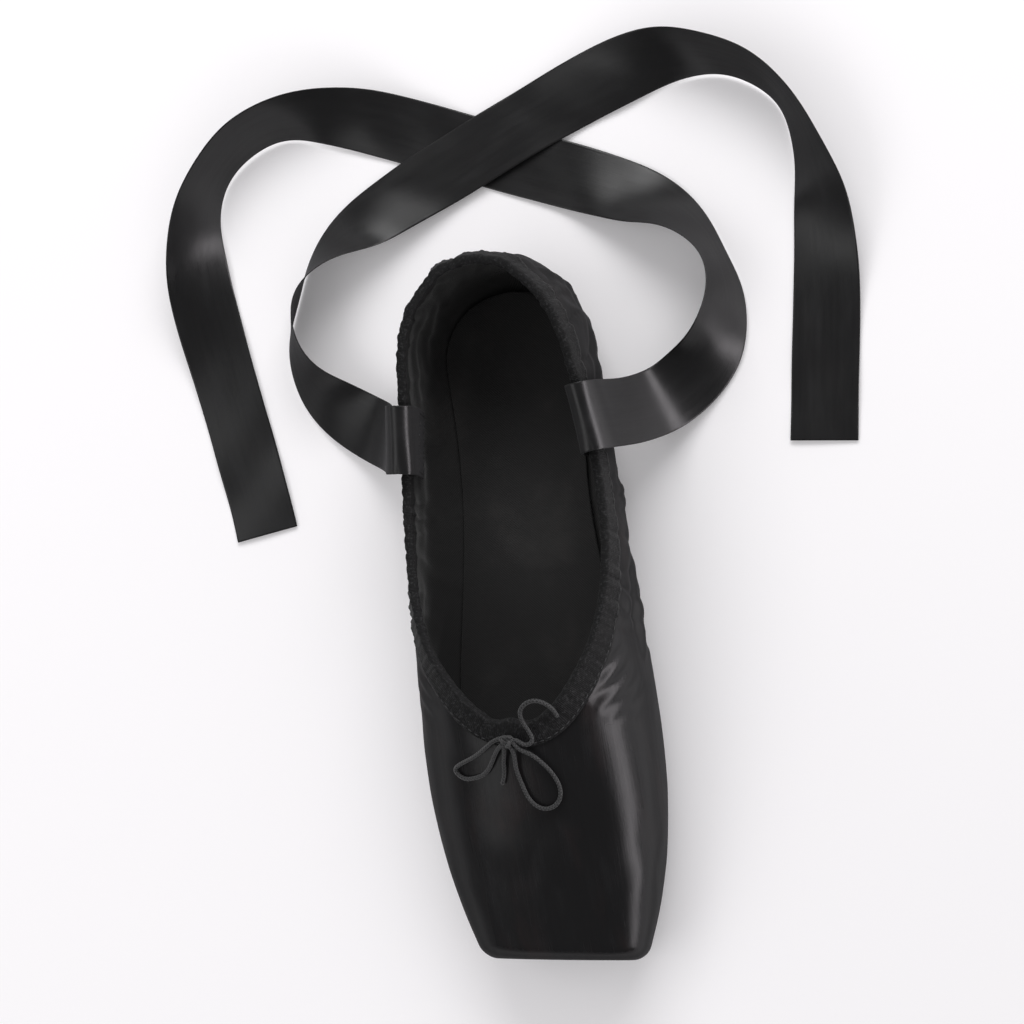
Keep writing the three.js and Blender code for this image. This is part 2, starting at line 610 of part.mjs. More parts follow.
/** Flat ribbon along a route: a thin section carried along with its width turned as tabled. */
function ribbon(rows) {
  const rad = Math.PI / 180;
  const middle = rows.map(({ x, y, lift, roll }) => {
    const height = lift + (RIBBON_WIDTH / 2) * Math.abs(Math.sin(roll * rad)) + RIBBON_THICK / 2;
    return new THREE.Vector3(x, y, height);
  });
  const width = rows.map(({ heading, roll }) => {
    const flat = Math.cos(roll * rad);
    const [dx, dy] = [-Math.sin(heading * rad), Math.cos(heading * rad)];
    return new THREE.Vector3(dx * flat, dy * flat, Math.sin(roll * rad));
  });
  const run = [0];
  for (let i = 1; i < middle.length; i += 1) run.push(run[i - 1] + middle[i].distanceTo(middle[i - 1]));
  const curve = (points) => {
    const axes = ['x', 'y', 'z'].map((axis) => spline(run, points.map((p) => p[axis])));
    return (t) => new THREE.Vector3(...axes.map((axis) => axis(t)));
  };
  const [centre, side] = [curve(middle), curve(width)];
  const total = run[run.length - 1];
  const [w, t] = [RIBBON_WIDTH / 2, RIBBON_THICK / 2];
  const edge = [[w, -t], [w, t], [-w, t], [-w, -t]];
  const rings = Array.from({ length: RIBBON_STEPS + 1 }, (_, i) => {
    const place = (total * i) / RIBBON_STEPS;
    const here = centre(place);
    const along = centre(place + 0.1).sub(centre(place - 0.1)).normalize();
    const across = side(place);
    across.addScaledVector(along, -across.dot(along)).normalize();
    const up = along.clone().cross(across);
    return edge.map(([u, v]) => here.clone().addScaledVector(across, u).addScaledVector(up, v));
  });
  // The two faces are split along the same diagonals, so that they stay apart where the ribbon twists.
  const strip = (from, to) => gridTriangles(rings.map((ring) => [ring[from], ring[to]]));
  return merged([
    ...strip(1, 2), ...strip(0, 3).reverse(), ...strip(0, 1), ...strip(2, 3),
    ...fan([...rings[0]].reverse()), ...fan(rings[RIBBON_STEPS]),
  ]);
}

// ---- the shoe ----

const SATIN = 0x242326;
const COTTON = 0x1a1a1b;

const shoe = new THREE.Group();
shoe.add(piece('upper', upper(), SATIN, 0.42));
shoe.add(piece('outsole', outsole(), 0x5a4a3c, 0.75));
shoe.add(piece('insole', insole(), COTTON, 0.9));
shoe.add(piece('collar_binding', collarBinding(), 0x1d1c1e, 0.8));
shoe.add(piece('drawstring_knot', knot(), 0x222123, 0.7));
shoe.add(piece('drawstring_loop_long', cord(LOOP_LONG), 0x222123, 0.7));
shoe.add(piece('drawstring_loop_short', cord(LOOP_SHORT), 0x222123, 0.7));
shoe.add(piece('drawstring_end_long', cord(END_LONG), 0x222123, 0.7));
shoe.add(piece('drawstring_end_short', cord(END_SHORT), 0x222123, 0.7));
shoe.add(piece('ribbon_medial', ribbon(RIBBON_MEDIAL), 0x3a3a3d, 0.4));
shoe.add(piece('ribbon_lateral', ribbon(RIBBON_LATERAL), 0x3a3a3d, 0.4));

export default shoe;
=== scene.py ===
"""A black satin pointe shoe, empty and at rest on its sole, with its two ribbons lying loose.

Sizes are in millimetres in the shoe's own frame: +Z up, the toe towards -Y, the big toe's side +X.
Meshes are handed to Blender in metres.
"""
import logging
import math
from abc import ABC, abstractmethod
from collections.abc import Callable
from dataclasses import dataclass, field
from enum import Enum
from functools import cached_property

import bpy
import numpy as np
from mathutils import Matrix, Vector


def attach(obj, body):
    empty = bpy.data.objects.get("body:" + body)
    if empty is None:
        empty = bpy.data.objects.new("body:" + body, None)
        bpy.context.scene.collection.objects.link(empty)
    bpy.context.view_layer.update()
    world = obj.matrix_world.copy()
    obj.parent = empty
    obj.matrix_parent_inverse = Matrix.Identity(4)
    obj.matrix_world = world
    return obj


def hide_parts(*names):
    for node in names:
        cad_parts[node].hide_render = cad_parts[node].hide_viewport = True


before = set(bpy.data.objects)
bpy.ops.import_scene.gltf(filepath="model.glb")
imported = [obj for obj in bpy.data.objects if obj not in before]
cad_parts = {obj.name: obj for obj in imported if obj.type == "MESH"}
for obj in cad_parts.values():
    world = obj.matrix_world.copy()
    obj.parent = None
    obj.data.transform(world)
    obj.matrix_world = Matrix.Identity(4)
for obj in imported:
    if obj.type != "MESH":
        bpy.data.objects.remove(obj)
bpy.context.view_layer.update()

MM = 0.001
BODY = "root"
Array = np.ndarray
Triple = tuple[float, float, float]
Colour = Triple
Waves = tuple[Triple, ...]
Socket = bpy.types.NodeSocket
PUFFS = 64
log = logging.getLogger("pointe_shoe")


class Side(Enum):
    """The two sides of the shoe, as the sign of x."""

    BIG_TOE = 1
    LITTLE_TOE = -1


# ---------------------------------------------------------------- numbers and curves


def ease(start: float, end: float, x: Array) -> Array:
    """Smooth step from 0 at start to 1 at end.

    Args:
        start: Where the step begins.
        end: Where the step is complete.
        x: Places where it is wanted.

    Returns:
        3s^2 - 2s^3 of the clamped share s.
    """
    share = np.clip((np.asarray(x, float) - start) / (end - start), 0.0, 1.0)
    return share * share * (3.0 - 2.0 * share)


def bell(x: Array, middle: float, width: float) -> Array:
    """Bell curve exp(-((x - middle) / width)^2)."""
    return np.exp(-(((np.asarray(x, float) - middle) / width) ** 2))


def unit(vectors: Array) -> Array:
    """Vectors scaled to length 1; a zero vector stays zero."""
    size = np.linalg.norm(vectors, axis=-1, keepdims=True)
    return vectors / np.where(size > 1e-12, size, 1.0)


def run_lengths(points: Array) -> Array:
    """Distance travelled along a line of points, starting at 0."""
    steps = np.linalg.norm(np.diff(points, axis=0), axis=1)
    return np.concatenate([[0.0], np.cumsum(steps)])


def sampled(points: Array, run: Array, places: Array) -> Array:
    """Points of a line at places along it; run says where its own points are."""
    return np.stack([np.interp(places, run, column) for column in points.T], axis=1)


def resampled(points: Array, count: int) -> Array:
    """The same line with count points at even distances."""
    run = run_lengths(points)
    return sampled(points, run, np.linspace(0.0, run[-1], count))


def girths(points: Array) -> Array:
    """Distance travelled along each row of a grid of points, starting at 0."""
    steps = np.linalg.norm(np.diff(points, axis=1), axis=2)
    return np.concatenate([np.zeros((len(points), 1)), np.cumsum(steps, axis=1)], axis=1)


class Spline:
    """Natural cubic spline through knots; values may have several columns."""

    def __init__(self, knots: Array, values: Array) -> None:
        """Solves the three-term equations for the bends at the knots.

        Args:
            knots: Rising places of the knots.
            values: One value, or one row of values, for each knot.
        """
        self.x = np.asarray(knots, float)
        self.y = np.asarray(values, float)
        step = np.diff(self.x)
        count = len(self.x)
        inner = np.arange(1, count - 1)
        table = np.eye(count)
        table[inner, inner - 1] = step[:-1]
        table[inner, inner] = 2.0 * (step[:-1] + step[1:])
        table[inner, inner + 1] = step[1:]
        shape = (count - 1,) + (1,) * (self.y.ndim - 1)
        slope = np.diff(self.y, axis=0) / step.reshape(shape)
        right = np.zeros_like(self.y)
        right[1:-1] = 6.0 * np.diff(slope, axis=0)
        self.bend = np.linalg.solve(table, right)

    def __call__(self, x: Array) -> Array:
        """Value at x: the cubic of the interval that x falls in.

        Args:
            x: Places where it is wanted, of any shape.

        Returns:
            Values of that shape, with the columns of the table last.
        """
        x = np.asarray(x, float)
        i = np.clip(np.searchsorted(self.x, x) - 1, 0, len(self.x) - 2)
        step = self.x[i + 1] - self.x[i]
        a = (self.x[i + 1] - x) / step
        if self.y.ndim > 1:
            a, step = a[..., None], step[..., None]
        b = 1.0 - a
        curl = (a**3 - a) * self.bend[i] + (b**3 - b) * self.bend[i + 1]
        return a * self.y[i] + b * self.y[i + 1] + curl * step * step / 6.0


def ripple(x: Array, waves: Waves) -> Array:
    """Sum of sines.

    Args:
        x: Places where it is wanted.
        waves: Rows of length, height and start of each wave.

    Returns:
        The sum of height * sin(2 pi x / length + start).
    """
    x = np.asarray(x, float)[..., None]
    length, height, start = np.array(waves, float).T
    return (height * np.sin(2.0 * np.pi * x / length + start)).sum(axis=-1)


# ---------------------------------------------------------------- the last


@dataclass(frozen=True)
class Last:
    """The form that the shoe is made on, as sections across the foot.

    A station is the distance from the platform. Past heel_start it is an arc length round the heel. An
    angle runs from -pi/2 under the foot, by 0 at the widest line, to pi/2 on top.
    """

    length: float = 240.0
    toe_round: float = 4.5
    toe_tilt: float = 0.07
    toe_skew: float = 0.085
    centring: float = 0.65
    heel_start: float = 204.0
    heel_tuck: float = 5.0
    heel_bulge: float = 22.0
    heel_top: float = 55.0
    throat: float = 80.0
    opening_from: float = 46.0
    opening_to: float = 224.0
    lasting_margin: float = 6.0
    wall_box: float = 2.6
    wall_quarter: float = 1.6
    columns: tuple[str, ...] = ("half", "under", "wide", "crown", "low", "top")
    rows: tuple[tuple[float, ...], ...] = (
        (0, 27.5, 5.4, 17.2, 29.6, 2.9, 2.7),
        (14, 32.2, 4.5, 17, 34.6, 3.4, 2.6),
        (30, 36.2, 3.8, 17, 40, 3.8, 2.5),
        (50, 39.2, 3.4, 17.4, 46.2, 3.8, 2.4),
        (70, 40.2, 3.3, 18, 51.6, 3.6, 2.3),
        (80, 40.1, 3.3, 18.4, 54.2, 3.5, 2.25),
        (96, 39.4, 4, 19.4, 58.8, 3.2, 2.2),
        (120, 38, 6, 21.6, 67, 2.8, 2.1),
        (150, 36.2, 6.6, 23.2, 79, 2.7, 2),
        (180, 33.8, 4.4, 22.6, 89, 2.9, 2),
        (206, 31.4, 3.3, 21.4, 95, 3.2, 2),
        (240, 30.6, 3.3, 21, 98, 3.4, 2),
    )
    collar: tuple[tuple[float, float], ...] = (
        (80, 54.2), (94, 53.4), (108, 50), (124, 45.2), (142, 41.6),
        (160, 41), (178, 43.2), (200, 48.6), (222, 53.4), (240, 55),
    )
    outsole: tuple[tuple[float, float], ...] = (
        (30, 22), (50, 26.5), (74, 28), (100, 24), (140, 17), (175, 18.5), (206, 22), (240, 22),
    )
    insole: tuple[tuple[float, float], ...] = (
        (10, 21), (35, 27), (70, 31), (100, 29), (145, 23), (180, 22.5), (206, 24), (240, 24),
    )

    @cached_property
    def curves(self) -> dict[str, Spline]:
        """Every table as smooth curves of the distance from the platform."""
        table = np.array(self.rows, float)
        made = {name: Spline(table[:, 0], table[:, k + 1]) for k, name in enumerate(self.columns)}
        for name in ("collar", "outsole", "insole"):
            rows = np.array(getattr(self, name), float)
            made[name] = Spline(rows[:, 0], rows[:, 1])
        return made

    @property
    def heel_reach(self) -> float:
        """Length of the part that closes round the heel."""
        return self.length - self.heel_start

    @property
    def end(self) -> float:
        """Last station, on the middle line at the back of the heel."""
        return self.heel_start + self.heel_reach * math.pi / 2.0

    def section(self, station: Array) -> dict[str, Array]:
        """Section sizes at stations.

        Past heel_start the half width shrinks as the cosine of the turn and the underside lifts. In front
        of toe_round the half width, underside and crown are drawn in along a quarter circle.

        Args:
            station: Stations of any shape.

        Returns:
            The table's columns and "at", the true distance from the platform.
        """
        station = np.asarray(station, float)
        turn = np.maximum(0.0, station - self.heel_start) / self.heel_reach
        at = np.where(turn > 0.0, self.heel_start + self.heel_reach * np.sin(turn), station)
        form = {name: self.curves[name](at) for name in self.columns}
        form["at"] = at
        lift = 1.0 - (1.0 - np.minimum(1.0, np.abs(np.sin(turn)) ** 8)) ** 0.125
        form["half"] = form["half"] * np.cos(turn)
        form["under"] = form["under"] + (form["wide"] - form["under"]) * lift
        near = np.clip(self.toe_round - at, 0.0, self.toe_round)
        inset = self.toe_round - np.sqrt(np.maximum(0.0, self.toe_round**2 - near**2))
        form["half"] = form["half"] - inset
        form["under"] = form["under"] + inset
        form["crown"] = form["crown"] - inset
        return form

    def lengthwise(self, at: Array, height: Array) -> Array:
        """Y of a point: the platform leans back and the heel leans forward as they rise."""
        toe = self.toe_tilt * (height - self.curves["under"](0.0)) * (1.0 - ease(0.0, 60.0, at))
        rise = (height - self.heel_bulge) / (self.heel_top - self.heel_bulge)
        heel = self.heel_tuck * rise**2 * ease(170.0, self.length, at)
        return at - self.length / 2.0 + toe - heel

    def point(self, station: Array, angle: Array) -> Array:
        """Points of the outer face: superellipse arcs above and below the widest line.

        Args:
            station: Stations.
            angle: Angles, of a shape that goes with the stations.

        Returns:
            Points, with x, y and z last.
        """
        station, angle = np.broadcast_arrays(np.asarray(station, float), np.asarray(angle, float))
        form = self.section(station)
        upper = angle >= 0.0
        power = 2.0 / np.where(upper, form["top"], form["low"])
        reach = np.where(upper, form["crown"] - form["wide"], form["wide"] - form["under"])
        sine, cosine = np.sin(angle), np.cos(angle)
        height = form["wide"] + reach * np.sign(sine) * np.abs(sine) ** power
        off = form["half"] * np.sign(cosine) * np.abs(cosine) ** power
        return np.stack([off, self.lengthwise(form["at"], height), height], axis=-1)

    def slopes(self, station: Array, angle: Array) -> tuple[Array, Array]:
        """How fast points move with the station and with the angle, from small steps to each side."""
        step, turn = 0.05, 0.002
        along = (self.point(station + step, angle) - self.point(station - step, angle)) * (0.5 / step)
        around = (self.point(station, angle + turn) - self.point(station, angle - turn)) * (0.5 / turn)
        return along, around

    def normal(self, station: Array, angle: Array) -> Array:
        """Outward normals of the outer face."""
        return unit(np.cross(*self.slopes(station, angle)))

    def nearest(self, goal: Array, station: Array, angle: Array) -> tuple[Array, Array]:
        """Finds the surface points nearest to goals, by four rounds of least squares.

        Args:
            goal: The goals.
            station: Stations to start from.
            angle: Angles to start from.

        Returns:
            Their stations and angles.
        """
        for _ in range(4):
            off = goal - self.point(station, angle)
            along, around = self.slopes(station, angle)
            pairs = (along, along), (along, around), (around, around), (off, along), (off, around)
            aa, ab, bb, oa, ob = ((u * v).sum(-1) for u, v in pairs)
            det = aa * bb - ab * ab
            station = station + (oa * bb - ob * ab) / det
            angle = angle + (ob * aa - oa * ab) / det
        return station, angle

    def underside(self, at: Array, x: Array) -> Array:
        """Height of the outer face under the foot, off the middle by x."""
        form = self.section(at)
        share = np.minimum(1.0, np.abs(x) / form["half"])
        drop = (1.0 - share ** form["low"]) ** (1.0 / form["low"])
        return form["wide"] - (form["wide"] - form["under"]) * drop

    def wall(self, at: Array) -> Array:
        """Thickness of the upper at a distance from the platform: thick in the box, thin along the foot."""
        return self.wall_box + (self.wall_quarter - self.wall_box) * ease(70.0, 110.0, at)

    def collar_angle(self, station: Array) -> Array:
        """Angle of the collar edge; pi/2 wherever the top is closed."""
        form = self.section(station)
        share = (self.curves["collar"](form["at"]) - form["wide"]) / (form["crown"] - form["wide"])
        angle = np.arcsin(np.clip(share, 0.0, 1.0) ** (form["top"] / 2.0))
        return np.where(np.asarray(station) <= self.throat, math.pi / 2.0, angle)

    def margin_angle(self, station: Array) -> Array:
        """Angle at which the turned-in margin begins, under the edge of the outsole."""
        form = self.section(station)
        share = self.curves["outsole"](form["at"]) / np.maximum(form["half"], 1.0)
        return -np.arccos(np.minimum(0.7, share) ** (form["low"] / 2.0))

    def opening_angle(self, station: Array) -> Array:
        """Angle of the edge that is turned in under the foot; -pi/2 where the underside is closed."""
        form = self.section(station)
        span = self.opening_to - self.opening_from
        off = np.clip(np.abs(2.0 * form["at"] - self.opening_from - self.opening_to) / span, 0.0, 1.0)
        open_half = (self.curves["outsole"](form["at"]) - self.lasting_margin) * (1.0 - off**16) ** 0.0625
        share = np.clip(open_half / np.maximum(form["half"], 1e-6), 0.0, 1.0)
        angle = -np.arccos(share ** (form["low"] / 2.0))
        return np.where(off >= 1.0, -math.pi / 2.0, angle)

    def below_collar(self, station: Array, down: Array) -> Array:
        """Points at a distance down the section from the collar edge or the crown line.

        Args:
            station: One station for each point.
            down: One distance along the surface for each point.

        Returns:
            One point for each pair.
        """
        share = np.linspace(0.0, 1.0, 161)[None, :]
        first = self.collar_angle(station)[:, None]
        angle = first + (-math.pi / 2.0 - first) * share
        line = self.point(np.asarray(station, float)[:, None], angle)
        run = np.array([run_lengths(row) for row in line])
        return np.array([
            [np.interp(d, r, row[:, k]) for k in range(3)] for d, r, row in zip(down, run, line)
        ])

    def set_place(self, points: Array) -> Array:
        """Draws the front out towards the big toe and centres the shoe, as the whole shoe is."""
        front = 1.0 - ease(60.0, 150.0, points[..., 1] + self.length / 2.0)
        moved = points.copy()
        moved[..., 1] += self.centring - self.toe_skew * points[..., 0] * front
        return moved


LAST = Last()


# ---------------------------------------------------------------- meshes


@dataclass
class Patch:
    """A grid of points with its cloth coordinates in millimetres.

    A closed one joins its last column to its first.
    """

    points: Array
    cloth: Array
    closed: bool = False

    def flipped(self) -> "Patch":
        """The same grid facing the other way."""
        return Patch(self.points[:, ::-1], self.cloth[:, ::-1], self.closed)

    def on(self, side: Side) -> "Patch":
        """The grid on a side of the shoe, facing out; on the little-toe side it is the mirror.

        The cloth runs on across the middle line.
        """
        if side is Side.BIG_TOE:
            return self
        points, cloth = self.points * np.array([-1.0, 1.0, 1.0]), self.cloth * np.array([1.0, -1.0])
        return Patch(points, cloth, self.closed).flipped()

    def cells(self) -> Array:
        """The four corner numbers of every cell."""
        rows, columns = self.points.shape[:2]
        ids = np.arange(rows * columns).reshape(rows, columns)
        if self.closed:
            ids = np.concatenate([ids, ids[:, :1]], axis=1)
        return np.stack([ids[:-1, :-1], ids[:-1, 1:], ids[1:, 1:], ids[1:, :-1]], axis=-1).reshape(-1, 4)


@dataclass
class Skin:
    """Patches sewn into one mesh: corners closer than a ten-thousandth of a millimetre are joined."""

    name: str
    patches: list[Patch] = field(default_factory=list)

    def sewn(self) -> tuple[Array, Array, Array, Array]:
        """Joins the patches.

        Returns:
            Corner points, cloth coordinates by patch corner, cells by patch corner and cells by joined
            corner, all in the shoe's place.
        """
        starts = np.cumsum([0] + [patch.points[..., 0].size for patch in self.patches[:-1]])
        cells = np.concatenate([patch.cells() + start for patch, start in zip(self.patches, starts)])
        cloth = np.concatenate([patch.cloth.reshape(-1, 2) for patch in self.patches])
        points = LAST.set_place(np.concatenate([patch.points.reshape(-1, 3) for patch in self.patches]))
        _, first, joined = np.unique(np.round(points * 1e4), axis=0, return_index=True, return_inverse=True)
        return points[first], cloth, cells, joined.reshape(-1)[cells]

    def build(self, material: bpy.types.Material, slot: str, *nodes: str) -> bpy.types.Object:
        """Makes the piece, with its UV map "cloth" in metres.

        Each cell of a patch is a quad; a cell with a side of no length becomes a triangle.

        Args:
            material: The piece's finish.
            slot: Name of the piece's material slot; not used.
            nodes: Solids that the piece stands for.

        Returns:
            The new piece, at the origin and tied to the shoe's body.
        """
        points, cloth, cells, merged = self.sewn()
        kept = merged != np.roll(merged, -1, axis=1)
        kept[kept.sum(axis=1) < 3] = False
        sizes = kept.sum(axis=1)[kept.any(axis=1)]
        mesh = bpy.data.meshes.new(self.name)
        mesh.vertices.add(len(points))
        mesh.vertices.foreach_set("co", (points * MM).astype(np.float32).ravel())
        mesh.loops.add(int(sizes.sum()))
        mesh.loops.foreach_set("vertex_index", merged[kept].astype(np.int32))
        mesh.polygons.add(len(sizes))
        mesh.polygons.foreach_set("loop_start", (np.cumsum(sizes) - sizes).astype(np.int32))
        mesh.update(calc_edges=True)
        mesh.polygons.foreach_set("use_smooth", np.ones(len(sizes), dtype=bool))
        layer = mesh.uv_layers.new(name="cloth")
        layer.data.foreach_set("uv", (cloth[cells[kept]] * MM).astype(np.float32).ravel())
        mesh.materials.append(material)
        mesh.validate()
        piece = bpy.data.objects.new(self.name, mesh)
        bpy.context.scene.collection.objects.link(piece)
        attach(piece, BODY)
        if nodes:
            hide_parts(*nodes)
        log.info("%s: %d faces", piece.name, len(mesh.polygons))
        return piece


def tube(path: Array, radius: Array, sides: int, up: Array) -> Patch:
    """Round tube along a path, closed by drawing both ends to a point.

    Each ring is path + radius * (cos across + sin up).

    Args:
        path: Points of the middle line.
        radius: Radius at every point.
        sides: Corners of each ring.
        up: Upward direction that is never along the path.

    Returns:
        The tube as one patch; cloth is the distance along and the way round.
    """
    along = unit(np.gradient(path, axis=0))
    across = unit(np.cross(along, up))
    rise = np.cross(across, along)
    turn = np.linspace(0.0, 2.0 * np.pi, sides, endpoint=False)
    ring = across[:, None] * np.cos(turn)[None, :, None] + rise[:, None] * np.sin(turn)[None, :, None]
    points = path[:, None] + ring * np.asarray(radius)[:, None, None]
    ends = [np.repeat(path[k][None, None], sides, axis=1) for k in (0, -1)]
    points = np.concatenate([ends[0], points, ends[1]], axis=0)
    run = run_lengths(path)
    run = np.concatenate([[0.0], run, run[-1:]])
    cloth = np.stack(np.broadcast_arrays(run[:, None], (turn * np.max(radius))[None, :]), axis=-1)
    return Patch(points[:, ::-1], cloth[:, ::-1], closed=True)


def stitches(line: Array, out: Array, pitch: float, long: float, radius: float) -> Patch:
    """A row of sewn stitches, each a short grain that dips at its two ends.

    A grain is a tube whose radius falls as the root of 1 - s^2 towards its ends, s from -1 to 1, and
    whose middle line sinks by s^2 of its radius.

    Args:
        line: Points of the sewing line on the cloth.
        out: Outward direction at each point.
        pitch: Distance from one stitch to the next.
        long: Length of a stitch.
        radius: Radius of the thread.

    Returns:
        All the grains as one patch of separate closed rings.
    """
    run = run_lengths(line)
    places = np.arange(pitch / 2.0, run[-1] - long / 2.0, pitch)
    middle, away = sampled(line, run, places), unit(sampled(out, run, places))
    along = unit(sampled(line, run, places + 0.2) - sampled(line, run, places - 0.2))
    across = np.cross(along, away)
    s = np.linspace(-1.0, 1.0, 7)
    turn = np.linspace(0.0, 2.0 * np.pi, 7)
    s_grid, turn_grid = np.meshgrid(s, turn, indexing="ij")
    girth = radius * np.sqrt(np.maximum(0.0, 1.0 - s_grid**2))
    rise = girth * np.sin(turn_grid) + radius * (0.5 - s_grid**2)
    wide = girth * np.cos(turn_grid)
    grain = (
        middle[:, None, None]
        + along[:, None, None] * (s_grid * long / 2.0)[None, ..., None]
        + across[:, None, None] * wide[None, ..., None]
        + away[:, None, None] * rise[None, ..., None]
    )
    cloth = np.broadcast_to(np.stack([s_grid * long, turn_grid * radius], axis=-1), grain.shape[:3] + (2,))
    return Patch(grain, cloth)


def spread(patch: Patch) -> list[Patch]:
    """A patch of many separate grids as a list of ordinary patches."""
    return [Patch(points, cloth, patch.closed) for points, cloth in zip(patch.points, patch.cloth)]


# ---------------------------------------------------------------- materials


def operator(operation: str, swapped: bool = False) -> Callable[..., "Field"]:
    """Makes a method that adds one Math node.

    Args:
        operation: The node's operation.
        swapped: Whether the field comes second.

    Returns:
        The method.
    """

    def method(self: "Field", *others: "Field | float") -> "Field":
        """The field and the other value, if there is one, through a Math node."""
        values = (*others, self) if swapped else (self, *others)
        return self.paint.math(operation, *values)

    return method


class Field:
    """A number that changes over a surface: one socket with arithmetic that adds Math nodes."""

    def __init__(self, paint: "Paint", socket: Socket) -> None:
        """Keeps the socket and the material that it is in."""
        self.paint, self.socket = paint, socket

    __add__ = __radd__ = operator("ADD")
    __mul__ = __rmul__ = operator("MULTIPLY")
    __sub__, __rsub__ = operator("SUBTRACT"), operator("SUBTRACT", swapped=True)
    sine = operator("SINE")


class Paint:
    """Builds one procedural material, node by node."""

    def __init__(self, name: str) -> None:
        """Starts an empty material with its output."""
        self.material = bpy.data.materials.new(name)
        self.material.use_nodes = True
        self.tree = self.material.node_tree
        self.tree.nodes.clear()
        self.output = self.node("ShaderNodeOutputMaterial")

    def node(self, kind: str, settings: dict | None = None, inputs: dict | None = None) -> bpy.types.Node:
        """Adds a node.

        Args:
            kind: Node type.
            settings: Attributes to set first.
            inputs: Values, sockets or fields by socket name or number.

        Returns:
            The new node.
        """
        made = self.tree.nodes.new(kind)
        for key, value in (settings or {}).items():
            setattr(made, key, value)
        for key, value in (inputs or {}).items():
            socket = made.inputs[key]
            if isinstance(value, Field):
                value = value.socket
            if isinstance(value, Socket):
                self.tree.links.new(value, socket)
            else:
                socket.default_value = value
        return made

    def math(self, operation: str, *values: Field | float) -> Field:
        """One Math node."""
        made = self.node("ShaderNodeMath", {"operation": operation}, dict(enumerate(values)))
        return Field(self, made.outputs[0])

    def cloth(self) -> Socket:
        """The piece's own cloth coordinates, in metres."""
        return self.node("ShaderNodeUVMap", {"uv_map": "cloth"}).outputs["UV"]

    def place(self) -> Socket:
        """Object coordinates, in metres."""
        return self.node("ShaderNodeTexCoord").outputs["Object"]

    def scaled(self, vector: Socket, x: float, y: float, z: float = 1.0) -> Socket:
        """A vector stretched by a factor on each axis."""
        made = self.node("ShaderNodeVectorMath", {"operation": "MULTIPLY"}, {0: vector, 1: (x, y, z)})
        return made.outputs[0]

    def axis(self, vector: Socket, name: str) -> Field:
        """One axis of a vector."""
        return Field(self, self.node("ShaderNodeSeparateXYZ", None, {0: vector}).outputs[name])

    def noise(self, vector: Socket, scale: float, detail: float = 2.0, rough: float = 0.5) -> Field:
        """Soft noise from 0 to 1."""
        inputs = {"Vector": vector, "Scale": scale, "Detail": detail, "Roughness": rough}
        return Field(self, self.node("ShaderNodeTexNoise", None, inputs).outputs["Fac"])

    def facing(self) -> Field:
        """0 where the surface is seen square on, up to 1 at its edges."""
        return Field(self, self.node("ShaderNodeLayerWeight", None, {"Blend": 0.5}).outputs["Facing"])

    def step(self, value: Field, low: float, high: float) -> Field:
        """Smooth step of a field from 0 at low to 1 at high."""
        settings = {"interpolation_type": "SMOOTHSTEP"}
        inputs = {"Value": value, "From Min": low, "From Max": high, "To Min": 0.0, "To Max": 1.0}
        return Field(self, self.node("ShaderNodeMapRange", settings, inputs).outputs[0])

    def ribs(self, phase: Field, pitch: float, wander: Field | float = 0.0) -> Field:
        """Rounded ribs from 0 to 1, pitch millimetres apart along a place in metres."""
        return (phase * (2000.0 * math.pi / pitch) + wander).sine() * 0.5 + 0.5

    def mix(self, factor: Field, first: Colour | Socket, second: Colour | Socket) -> Socket:
        """Mix of two colours.

        Args:
            factor: Share of the second colour.
            first: Colour triple or socket.
            second: Colour triple or socket.

        Returns:
            The colour socket.
        """
        ends = [end if isinstance(end, Socket) else (*end, 1.0) for end in (first, second)]
        inputs = {0: factor, 6: ends[0], 7: ends[1]}
        return self.node("ShaderNodeMix", {"data_type": "RGBA"}, inputs).outputs[2]

    def bump(self, height: Field, depth: float, under: Socket | None = None) -> Socket:
        """Bump of a height field from 0 to 1 that stands depth metres high."""
        inputs = {"Height": height, "Distance": depth, "Strength": 1.0}
        if under is not None:
            inputs["Normal"] = under
        return self.node("ShaderNodeBump", None, inputs).outputs[0]

    def finish(self, colour: Socket, roughness: Field | float, normal: Socket,
               **constants: float | tuple[float, ...] | Socket) -> bpy.types.Material:
        """Closes the material with one Principled shader.

        Args:
            colour: Base colour socket.
            roughness: Roughness field or number.
            normal: Normal socket.
            constants: Other shader inputs that are the same all over, by name with _ for a space.

        Returns:
            The finished material.
        """
        inputs = {"Base Color": colour, "Roughness": roughness, "Normal": normal}
        inputs.update({key.replace("_", " "): value for key, value in constants.items()})
        shader = self.node("ShaderNodeBsdfPrincipled", None, inputs)
        self.tree.links.new(shader.outputs[0], self.output.inputs[0])
        return self.material


